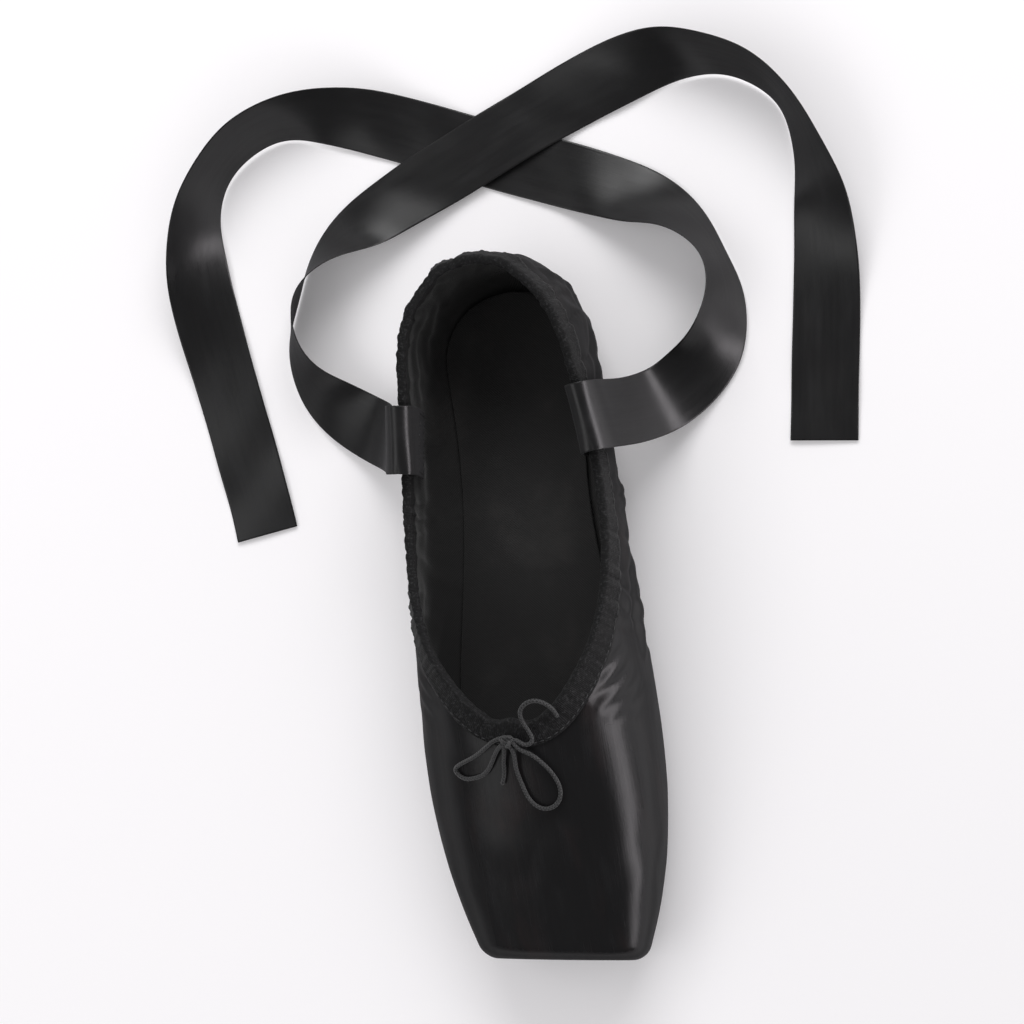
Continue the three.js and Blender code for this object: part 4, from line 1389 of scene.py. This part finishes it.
    def build(self) -> list[bpy.types.Object]:
        """Makes the satin and the lining.

        Returns:
            Both pieces.
        """
        points = self.grid()
        cloth, out = self.threads(points), self.normals(points)
        t, d = DRAPES[Side.BIG_TOE].along_edge(points)
        thick, faces = self.satin_thick, []
        deep = LAST.wall(points[..., 1:2] + LAST.length / 2.0)
        edge = points.shape[1] - 1
        fine, coarse = (np.unique(np.r_[0:edge:step, edge]) for step in (2, 3))
        for side in Side:
            rise = DRAPES[side].height(points, t, d)[..., None]
            soft = np.where(points[..., 2:] < self.lining_flat, np.minimum(rise, 0.0), rise)
            faces.append((
                points + out * rise,
                (points + out * (rise - thick))[:, coarse],
                (points + out * (inside(soft) - deep))[:, fine],
                (points + out * (soft - thick - self.paste))[:, coarse],
            ))
        satin_front, satin_back, lining_front, lining_back = zip(*faces)
        satin = self.shell("satin_upper", satin_front, satin_back, (cloth, cloth[:, coarse]), False)
        lining = self.shell("lining", lining_front, lining_back, (cloth[:, fine], cloth[:, coarse]), True)
        return [
            satin.build(self.satin, "satin", "upper"),
            lining.build(self.lining, "insole_cotton", "upper"),
        ]


# ---------------------------------------------------------------- the collar binding


@dataclass
class Collar:
    """Folded tape over the collar edge, with the drawstring inside its fold, and its row of stitches."""

    tape: bpy.types.Material
    thread: bpy.types.Material
    depth: float = 7.0
    heel_extra: float = 2.2
    thick: float = 0.55
    cord_radius: float = 0.85
    clear: float = 0.22
    rings: int = 620
    steps: int = 8
    crimp_pitch: float = 3.1
    crimp_height: float = 0.18
    stitch_pitch: float = 2.7
    stitch_long: float = 1.9
    stitch_radius: float = 0.2
    # Height, place and width of the hump that the drawstring pulls up and of the notches beside it.
    pulls: tuple[Triple, ...] = ((1.5, -1.2, 3.4), (-0.6, -8.2, 2.2), (-0.35, 7.0, 2.4))

    def tracks(self) -> tuple[Array, Array, Array, Array]:
        """Lines on the last at even distances below the collar edge, at right angles to it.

        Each step goes down the tangent plane and is brought back to the surface.

        Returns:
            Points and normals by ring and step, the down directions and the rings' place on the edge.
        """
        share = np.linspace(0.0, 1.0, self.rings)
        past = (LAST.end - LAST.throat) * (0.75 * share + 0.25 * share**2)
        station = LAST.throat + past * np.minimum(1.0, share / 0.1) ** 0.7
        angle = LAST.collar_angle(station)
        small = np.clip(np.minimum(station - LAST.throat, LAST.end - station) / 2.0, 1e-4, 0.2)
        ends = [LAST.point(s, LAST.collar_angle(s)) for s in (station - small, station + small)]
        tangent = unit(ends[1] - ends[0])
        tangent[0], tangent[-1] = (1.0, 0.0, 0.0), (-1.0, 0.0, 0.0)
        depth = self.depth + self.heel_extra * ease(0.7, 1.0, share)
        points, normals = [LAST.point(station, angle)], [LAST.normal(station, angle)]
        for _ in range(self.steps):
            down = np.cross(tangent, normals[-1])
            goal = points[-1] + unit(down) * (depth / self.steps)[:, None]
            station, angle = LAST.nearest(goal, station, angle)
            points.append(LAST.point(station, angle))
            normals.append(LAST.normal(station, angle))
        points, normals = np.stack(points, axis=1), np.stack(normals, axis=1)
        down = unit(np.cross(tangent[:, None], normals))
        for data in (points, normals, down):
            data[[0, -1], :, 0] = 0.0
        return points, unit(normals), unit(down), run_lengths(points[:, 0])

    def hump(self, x: Array) -> Array:
        """How far the tape is pulled up where the drawstring leaves it, with a notch to each side."""
        return sum(height * bell(x, place, width) for height, place, width in self.pulls)

    def build(self) -> list[bpy.types.Object]:
        """Makes the tape and its stitches.

        The tape's outer side follows the satin's folds; fine crimps run across it where the drawstring
        gathers it.

        Returns:
            The two pieces.
        """
        track = self.tracks()
        points, normals, _, run = track
        wall = LAST.wall(points[..., 1] + LAST.length / 2.0)
        low, keep = self.steps - 1, slice(6, -4)
        skin, rows = Skin("binding_tape"), Skin("binding_stitches")
        for side in Side:
            outer, inner, hump, crimp = self.faces(side, points, run, wall)
            ring = self.section(track, outer, inner, hump, crimp)
            width = girths(ring)
            cloth = np.stack([np.broadcast_to(run[:, None], width.shape), width], axis=-1)
            line = points[:, low] + normals[:, low] * (outer[:, low] + self.thick)[:, None]
            grains = stitches(line[keep], normals[keep, low], self.stitch_pitch, self.stitch_long,
                              self.stitch_radius)
            skin.patches.append(Patch(ring, cloth, closed=True).on(side))
            rows.patches += [grain.on(side) for grain in spread(grains)]
        return [
            skin.build(self.tape, "binding_cotton", "collar_binding"),
            rows.build(self.thread, "binding_cotton"),
        ]

    def faces(self, side: Side, points: Array, run: Array, wall: Array) -> tuple[Array, ...]:
        """Heights over the last of the faces that the tape lies against.

        Args:
            side: Side of the shoe.
            points: Points of the tracks.
            run: Place of each ring on the collar edge.
            wall: Thickness of the upper at the points.

        Returns:
            Heights outside and inside by ring and step, how far each ring is pulled up and its crimp.
        """
        share = np.linspace(0.0, 1.0, self.steps + 1)[None, :]
        below = share * (self.depth + self.heel_extra * ease(0.7, 1.0, run / run[-1]))[:, None]
        drape = DRAPES[side]
        rise = drape.height(points, np.broadcast_to(run[:, None], below.shape), below)
        rng = np.random.default_rng(drape.seed + 3)
        beat = run + ripple(run, ((17.0, 0.7, 0.2), (7.3, 0.3, 1.0)))
        crimp = (np.abs(np.sin(np.pi * beat / self.crimp_pitch)) - 0.6) * self.crimp_height
        crimp = crimp + ripple(run, ((5.3, 0.08, rng.random() * 6.0),))
        crimp = crimp * ease(0.0, 6.0, run) * (1.0 - ease(run[-1] - 4.0, run[-1], run))
        crimp = crimp[:, None] * (1.0 - 0.75 * share**2)
        outer = rise + self.clear + crimp
        inner = inside(rise) - wall - self.clear - crimp * 0.8
        return outer, inner, self.hump(run * side.value), crimp[:, 0]

    def section(self, track: tuple[Array, ...], outer: Array, inner: Array, hump: Array,
                crimp: Array) -> Array:
        """Closed rings of the tape: up its outer face, over the cord, down its inner face and back.

        Args:
            track: Points, normals, down directions and places of the tracks.
            outer: Heights of the satin's face by ring and step.
            inner: Heights of the lining's face by ring and step.
            hump: How far each ring is pulled up by the drawstring.
            crimp: Crimp of each ring at the fold.

        Returns:
            Points of the rings.
        """
        points, normals, down, _ = track
        steps, thick, cord = self.steps, self.thick, self.cord_radius

        def lifted(step: int, off: Array, up: Array | float = 0.0) -> Array:
            """One point for each ring: off the last, and up from the step."""
            return points[:, step] + normals[:, step] * off[:, None] - down[:, step] * np.reshape(up, (-1, 1))

        middle = (outer[:, 0] + inner[:, 0]) / 2.0 + 0.3 * hump
        half = (outer[:, 0] - inner[:, 0]) / 2.0 + thick
        fold = 0.35 + 0.5 * crimp + hump
        ring = [lifted(k, outer[:, k] + thick + 0.3 * hump, hump * (1.0 - k / steps) ** 2)
                for k in range(steps, -1, -1)]
        ring += [lifted(0, middle + half * math.cos(turn), cord * math.sin(turn) + fold)
                 for turn in np.linspace(0.25, math.pi - 0.25, 9)]
        ring += [lifted(k, inner[:, k] - thick) for k in range(steps + 1)]
        ring += [lifted(k, inner[:, k]) for k in range(steps, -1, -2)]
        ring += [lifted(0, inner[:, 0], 0.25), lifted(0, outer[:, 0], 0.25)]
        ring += [lifted(k, outer[:, k]) for k in range(0, steps + 1, 2)]
        rings = np.stack(ring, axis=1)
        rings[[0, -1], :, 0] = 0.0
        return rings


# ---------------------------------------------------------------- outsole and insole


@dataclass
class Plate(ABC):
    """A plate under or in the foot, with rounded ends, as rings of a top side and a bottom side."""

    material: bpy.types.Material
    name: str
    slot: str
    node: str
    start: float
    stop: float
    nose: float
    tail: float
    rings: int = 170
    across: int = 27

    @abstractmethod
    def sides(self, at: Array, x: Array, u: Array) -> tuple[Array, Array]:
        """Heights of the top and the bottom; each plate gives its own.

        Args:
            at: Distance from the platform.
            x: Place across the foot.
            u: Share of the way to the edge, from -1 to 1.

        Returns:
            Both heights on the grid of at by x.
        """

    def build(self) -> bpy.types.Object:
        """Makes the plate.

        The half width is the last's table of the same name, drawn in at the front by
        (1 - n^2.6)^(1/2.6) and at the back by (1 - t^2.2)^(1/2.2), n and t being the shares of the way
        into each rounded end.

        Returns:
            The piece.
        """
        share = (1.0 - np.cos(np.pi * np.linspace(0.0, 1.0, self.rings))) / 2.0
        at = (self.start + (self.stop - self.start) * share)[:, None]
        nose = np.maximum(0.0, (self.start + self.nose - at) / self.nose)
        tail = np.clip((at - self.stop + self.tail) / self.tail, 0.0, 1.0)
        ends = (1.0 - nose**2.6) ** (1.0 / 2.6) * (1.0 - tail**2.2) ** (1.0 / 2.2)
        half = LAST.curves[self.node](at) * ends
        u = (np.sin(np.linspace(-0.5, 0.5, self.across) * np.pi * 0.92) / np.sin(0.46 * np.pi))[None, :]
        top, bottom = self.sides(at, u * half, u)
        y = np.broadcast_to(at - LAST.length / 2.0, top.shape)
        faces = [np.stack([u * half, y, height], axis=-1) for height in (top, bottom)]
        points = np.concatenate([faces[0], faces[1][:, ::-1]], axis=1)
        cloth = points[..., [1, 0]] + np.array([LAST.length / 2.0, 0.0])
        plate = Patch(points, cloth, closed=True).flipped()
        return Skin(self.name, [plate]).build(self.material, self.slot, self.node)


@dataclass
class Outsole(Plate):
    """Leather outsole: flat under the forefoot and the heel, arched under the waist."""

    name: str = "leather_outsole"
    slot: str = "sole_leather"
    node: str = "outsole"
    start: float = 33.0
    stop: float = 235.0
    nose: float = 14.0
    tail: float = 24.0
    clear: float = 0.3
    arch_from: float = 92.0
    arch_length: float = 104.0
    arch_height: float = 3.6
    toe_spring: float = 1.6
    worked_edge: float = 0.9
    channel: float = 0.28

    def sides(self, at: Array, x: Array, u: Array) -> tuple[Array, Array]:
        """The top follows the last; the bottom arches as sin^2, springs at the toe and has a sewn channel."""
        off = np.abs(u)
        share = np.clip((at - self.arch_from) / self.arch_length, 0.0, 1.0)
        arch = self.arch_height * np.sin(np.pi * share) ** 2
        spring = self.toe_spring * (1.0 - ease(28.0, 56.0, at))
        channel = self.channel * bell(off, 0.8, 0.018) * ease(40.0, 52.0, at) * (1.0 - ease(214.0, 226.0, at))
        bottom = arch + spring + self.worked_edge * ease(0.88, 1.0, off) + channel
        return LAST.underside(at, x) - self.clear, bottom


@dataclass
class Insole(Plate):
    """Cotton-covered insole board on the lining."""

    name: str = "insole_board"
    slot: str = "insole_cotton"
    node: str = "insole"
    start: float = 12.0
    stop: float = 229.0
    nose: float = 18.0
    tail: float = 26.0
    clear: float = 0.48
    board: float = 2.0
    groove: float = 0.22

    def sides(self, at: Array, x: Array, u: Array) -> tuple[Array, Array]:
        """The bottom lies on the lining; the top falls towards the edges as 1 - u^4 / 2."""
        heel = 0.5 * ease(214.0, 229.0, at)
        bed = LAST.underside(at, x * 1.04) + LAST.wall(at) + self.clear + heel
        board = self.board * (1.0 - 0.5 * u**4) - self.groove * bell(np.abs(u), 0.87, 0.02)
        return bed + board, bed


# ---------------------------------------------------------------- drawstring


def over_vamp(route: Array) -> Array:
    """Points over the satin of the vamp: rows of x, y and the height of the cord's middle above it."""
    x, y, lift = np.asarray(route, float).T
    form = LAST.section(y + LAST.length / 2.0)
    rise = (1.0 - np.minimum(1.0, np.abs(x / form["half"])) ** form["top"]) ** (1.0 / form["top"])
    return np.stack([x, y, form["wide"] + (form["crown"] - form["wide"]) * rise + lift], axis=1)


def carried_up(path: Array, first: Triple) -> Array:
    """Upward directions carried along a path without twist: each is the last one less its part along."""
    along = unit(np.gradient(path, axis=0))
    made = [unit(np.array(first) - np.dot(first, along[0]) * along[0])]
    for direction in along[1:]:
        made.append(unit(made[-1] - np.dot(made[-1], direction) * direction))
    return np.array(made)


@dataclass
class Bow:
    """The drawstring's bow on the vamp: two cords that cross in a small knot."""

    material: bpy.types.Material
    cord: float = 1.4
    sides: int = 14
    knot_place: Triple = (-2.4, -44.6, 3.4)
    knot_size: Triple = (0.62, 0.6, 0.85)
    loop_long: tuple[Triple, ...] = (
        (-1.2, -47.9, 2.8), (-1.2, -53.2, 1.9), (-0.2, -59, 1.3), (1.6, -64, 1.3), (5.2, -66.9, 1.3),
        (9.6, -66, 1.3), (12, -62, 1.3), (11, -56.6, 1.3), (7.6, -51.8, 1.7), (4, -48.8, 2.4),
        (0.7, -46.8, 3),
    )
    loop_short: tuple[Triple, ...] = (
        (-5.4, -44, 3), (-10.6, -47, 2.5), (-16.4, -50.4, 1.6), (-21, -52.4, 1.3), (-23.2, -54.4, 1.3),
        (-21.4, -56.6, 1.3), (-16.8, -57, 1.3), (-12.4, -55.4, 1.3), (-9, -51.4, 1.8), (-5.6, -46.9, 2.9),
    )
    end_long: tuple[Triple, ...] = (
        (0.6, -44.4, 3.2), (3.4, -45.9, 2.8), (5.6, -45, 2.5), (5.4, -42, 2.6), (4, -38.6, 3.2),
        (3.8, -35.6, 4.2), (6, -32.8, 4.9), (9.4, -31.8, 4.9), (12.6, -33, 4.1), (14.6, -35.6, 2.8),
        (15.2, -37.2, 2.5),
    )
    end_short: tuple[Triple, ...] = (
        (-5, -51.2, 1.8), (-5.6, -55, 1.3), (-7, -59, 1.3),
    )

    def route(self, rows: list[Triple]) -> Array:
        """Smooth line through points over the vamp, at even steps of half a millimetre."""
        knots = over_vamp(np.array(rows))
        run = run_lengths(knots)
        line = Spline(run, knots)(np.linspace(0.0, run[-1], 600))
        return resampled(line, int(run_lengths(line)[-1] / 0.5))

    def piece(self, name: str, path: Array, radius: Array, *nodes: str) -> bpy.types.Object:
        """Makes one length of the cord.

        Args:
            name: Piece name.
            path: Its middle line.
            radius: Its radius at each point.
            nodes: Solids that it stands for.

        Returns:
            The piece.
        """
        cord = tube(path, radius, self.sides, carried_up(path, (0.0, 0.0, 1.0)))
        return Skin(name, [cord]).build(self.material, "drawstring", *nodes)

    def strand(self, name: str, rows: list[Triple], knot: bpy.types.Object,
               *nodes: str) -> bpy.types.Object:
        """One cord of the bow.

        Args:
            name: Piece name.
            rows: Its route.
            knot: The knot that it runs through; not used.
            nodes: Solids that it stands for.

        Returns:
            The piece.
        """
        path = self.route(rows)
        radius = np.full(len(path), self.cord / 2.0)
        radius[[0, -1]] *= 0.75
        piece = self.piece(name, path, radius, *nodes)
        placed = LAST.set_place(path)
        float(run_lengths(placed)[-1] * MM)
        [tuple(p) for p in placed[::3] * MM]
        return piece

    def knot(self) -> bpy.types.Object:
        """The knot, as a cord drawn tight in three crossing turns.

        Its line is a trefoil: x = sin t + 2 sin 2t, y = cos t - 2 cos 2t, z = -sin 3t.

        Returns:
            The piece.
        """
        t = np.linspace(0.0, 2.0 * np.pi + 0.25, 130)
        x, y = np.sin(t) + 2.0 * np.sin(2.0 * t), np.cos(t) - 2.0 * np.cos(2.0 * t)
        turns = np.stack([x, y, -np.sin(3.0 * t)], axis=1) * np.array(self.knot_size)
        path = over_vamp(np.array([self.knot_place]))[0] + turns
        radius = np.full(len(path), self.cord * 0.47)
        return self.piece("drawstring_knot_turns", path, radius, "drawstring_knot")

    def build(self) -> list[bpy.types.Object]:
        """Makes the knot and the two cords, each with one loop and one end."""
        knot = self.knot()
        through = ((-1.8, -44.3, 3.6), (-3.4, -45.4, 3.3), (-4.1, -48.2, 2.6))
        first = [(-2.6, -45.2, 3.3), *self.loop_long, *through, *self.end_short]
        second = [(-2.4, -43.6, 3.5), *self.loop_short, (-2.4, -45.0, 3.6), *self.end_long]
        return [
            knot,
            self.strand("drawstring_first", first, knot, "drawstring_loop_long", "drawstring_end_short"),
            self.strand("drawstring_second", second, knot, "drawstring_loop_short", "drawstring_end_long"),
        ]


# ---------------------------------------------------------------- ribbons


@dataclass
class Ribbon:
    """A satin ribbon sewn inside a quarter, over the collar and down to the floor, where it lies loose.

    Rows are points of its middle line: x, y, the height of its lower edge, its heading seen from above
    and how far it has turned from lying flat towards standing on its edge, in degrees.
    """

    name: str
    node: str
    material: bpy.types.Material
    thread: bpy.types.Material
    rows: tuple[tuple[float, ...], ...]
    seed: float
    width: float = 23.0
    tabled_thick: float = 0.8
    thick: float = 0.34
    selvedge: float = 0.26
    sewn: tuple[float, float] = (1.5, 12.5)
    sewn_share: float = 0.86
    stitch_pitch: float = 2.2
    stitch_long: float = 1.5
    stitch_radius: float = 0.17
    steps: int = 560
    across: int = 19

    @cached_property
    def lines(self) -> tuple[Spline, Spline, float]:
        """Middle line and width direction as curves of the chord length, and the whole length."""
        x, y, lift, heading, roll = np.array(self.rows, float).T
        heading, roll = np.radians(heading), np.radians(roll)
        height = lift + self.width / 2.0 * np.abs(np.sin(roll)) + self.tabled_thick / 2.0
        middle = np.stack([x, y, height], axis=1)
        flat = np.cos(roll)
        across = np.stack([-np.sin(heading) * flat, np.cos(heading) * flat, np.sin(roll)], axis=1)
        run = run_lengths(middle)
        return Spline(run, middle), Spline(run, across), float(run[-1])

    def surface(self, place: Array, u: Array) -> tuple[Array, Array]:
        """Points and normals of the ribbon's middle layer.

        The point is centre + u * half width * across, plus a slow wave along the normal that fades at
        the sewn end.

        Args:
            place: Distance along the ribbon, one for each row.
            u: Share across it from -1 to 1.

        Returns:
            Points and normals on the grid of place by u.
        """
        centre, side, _ = self.lines
        middle = centre(place)
        along = unit(centre(place + 0.1) - centre(place - 0.1))
        across = side(place)
        across = unit(across - (across * along).sum(-1, keepdims=True) * along)
        up = np.cross(along, across)
        s, v = np.meshgrid(place, u, indexing="ij")
        wave = ripple(s + 9.0 * v, ((46.0, 0.22, self.seed), (27.0, 0.12, 1.0 + self.seed)))
        wave = wave + 0.18 * v**2 * np.sin(s / 6.3 + self.seed)
        wave = wave * ease(70.0, 110.0, s)
        sideways = across[:, None] * (v * self.width / 2.0)[..., None]
        points = middle[:, None] + sideways + up[:, None] * wave[..., None]
        return points, np.broadcast_to(up[:, None], points.shape)

    def build(self) -> list[bpy.types.Object]:
        """Makes the ribbon and the stitches that hold it inside the quarter.

        Returns:
            The two pieces.
        """
        total = self.lines[2]
        place = np.linspace(0.0, total, self.steps)
        u = np.sin(np.linspace(-0.5, 0.5, self.across) * np.pi)
        points, up = self.surface(place, u)
        off = np.abs(u)
        rim = self.selvedge * ease(0.93, 0.985, off) * (1.0 - ease(0.985, 1.0, off))
        half = ((self.thick + rim) / 2.0 * np.sqrt(np.maximum(0.0, 1.0 - off**24)))[None, :, None]
        over, under = points + up * half, points - up * half
        cloth = np.stack(np.meshgrid(place, u * self.width / 2.0, indexing="ij"), axis=-1)
        both = np.concatenate([over, under[:, ::-1]], axis=1)
        skin = Skin(self.name, [
            Patch(both, np.concatenate([cloth, cloth[:, ::-1]], axis=1), closed=True).flipped(),
            Patch(np.stack([under[0], over[0]]), np.stack([cloth[0], cloth[0]])).flipped(),
            Patch(np.stack([over[-1], under[-1]]), np.stack([cloth[-1], cloth[-1]])).flipped(),
        ])
        piece = skin.build(self.material, "ribbon_satin", self.node)
        path = LAST.set_place(self.lines[0](np.linspace(0.0, total, 90)))
        float(run_lengths(path)[-1] * MM)
        [tuple(p) for p in path * MM]
        return [piece, self.sewing()]

    def sewing(self) -> bpy.types.Object:
        """The square of stitches that holds the ribbon's end inside the quarter."""
        (low, high), wide = self.sewn, self.sewn_share
        sewn = Skin(self.name + "_stitches")
        lengthwise = (low, high, -wide, -wide), (low, high, wide, wide)
        across = (low, low, -wide, wide), (high, high, -wide, wide)
        for start, end, left, right in lengthwise + across:
            grid, normal = self.surface(np.linspace(start, end, 30), np.linspace(left, right, 30))
            diagonal = np.arange(30)
            line, out = grid[diagonal, diagonal], normal[diagonal, diagonal]
            facing = out * np.sign(out[:, :1] * -self.rows[0][0])
            sewn.patches += spread(stitches(line + facing * 0.2, facing, self.stitch_pitch,
                                            self.stitch_long, self.stitch_radius))
        return sewn.build(self.thread, "ribbon_satin")


BIG_TOE_RIBBON = (
    (30.6, 58, 24, 6, 0), (28.9, 58, 33, 6, 2), (27.8, 58, 40.6, 6, 6), (29, 58, 45.8, 6, 11),
    (32.6, 58.4, 47.2, 7, 12), (36.4, 58.9, 44, 8, 12), (39.2, 59.8, 35, 10, 12), (42, 61, 24, 14, 12),
    (46, 63, 13, 20, 13), (52.4, 66.4, 4.8, 28, 15), (61, 72.4, 1.3, 42, 23), (70.6, 82.6, 0.7, 59, 44),
    (75.6, 97, 0.6, 85, 66), (73.4, 112, 0.6, 112, 74), (64, 125.6, 0.6, 136, 58), (48.6, 136, 0.6, 151, 27),
    (28.4, 145.6, 0.6, 156, 5), (5, 155.4, 0.6, 157, 0), (-18.6, 165.6, 0.6, 157, -2),
    (-42, 175, 0.6, 162, -18), (-65.6, 180.6, 0.6, 178, -48), (-88.4, 177, 0.6, 205, -70),
    (-105, 162.4, 0.6, 236, -72), (-112.4, 141, 0.6, 260, -52), (-112.6, 117.6, 0.6, 274, -20),
    (-109, 94, 0.6, 280, -3), (-104.4, 70.6, 0.6, 281, 0), (-100, 47.6, 0.6, 280, 0),
    (-98.2, 36, 0.6, 280, 0),
)
LITTLE_TOE_RIBBON = (
    (-30.6, 58, 24, 174, 0), (-28.9, 58, 33, 174, -2), (-27.8, 58, 40.6, 174, -6), (-29, 58, 45.8, 174, -11),
    (-32.6, 58.4, 47, 173, -12), (-36.4, 59, 43.6, 172, -12), (-39.4, 60.2, 34.4, 170, -12),
    (-42.4, 61.6, 23.4, 166, -12), (-46.6, 63.8, 12.4, 160, -13), (-53.4, 67.6, 4.4, 151, -15),
    (-63, 74.4, 1.3, 138, -23), (-73.4, 85.6, 0.7, 120, -44), (-78.4, 101, 0.6, 94, -66),
    (-75.6, 117, 0.6, 66, -74), (-65.6, 130.4, 0.7, 43, -56), (-50, 140.6, 1.1, 29, -24),
    (-30, 150.4, 2.2, 25, -4), (-7, 160.4, 2.7, 23, 0), (16.6, 170.4, 1.8, 21, 2), (40.4, 178.6, 0.7, 14, 18),
    (64.6, 182.4, 0.6, -2, 48), (87, 176.6, 0.6, -29, 70), (102.6, 161, 0.6, -59, 72),
    (109.6, 139.6, 0.6, -80, 52), (110.6, 116, 0.6, -91, 20), (108.4, 92.4, 0.6, -96, 3),
    (105.4, 69, 0.6, -97, 0), (102.6, 45.6, 0.6, -97, 0),
)


# ---------------------------------------------------------------- the shoe


def main() -> None:
    """Builds the camera, the cords, the studio and then every sub-assembly."""
    logging.basicConfig(level=logging.INFO, format="%(name)s %(message)s")
    Viewpoint().build()
    thread = ThreadFinish().material()
    ribbon_satin = SatinFinish(
        "ribbon_satin", (0.0098, 0.0096, 0.0102), (0.0128, 0.0118, 0.0122), (0.0145, 0.0142, 0.0153),
        rough=0.33, loose=0.0, thread=0.22, sheen=0.05, gloss=0.42,
    ).material()
    Bow(BraidFinish().material()).build()
    Ribbon("ribbon_big_toe_side", "ribbon_medial", ribbon_satin, thread, BIG_TOE_RIBBON, 0.4).build()
    Ribbon("ribbon_little_toe_side", "ribbon_lateral", ribbon_satin, thread, LITTLE_TOE_RIBBON, 2.1).build()
    Studio().build()
    twill = TwillFinish().material()
    Upper(SatinFinish().material(), twill).build()
    Collar(TapeFinish("binding_tape").material(), thread).build()
    Outsole(LeatherFinish().material()).build()
    Insole(twill).build()


if __name__ == "__main__":
    main()
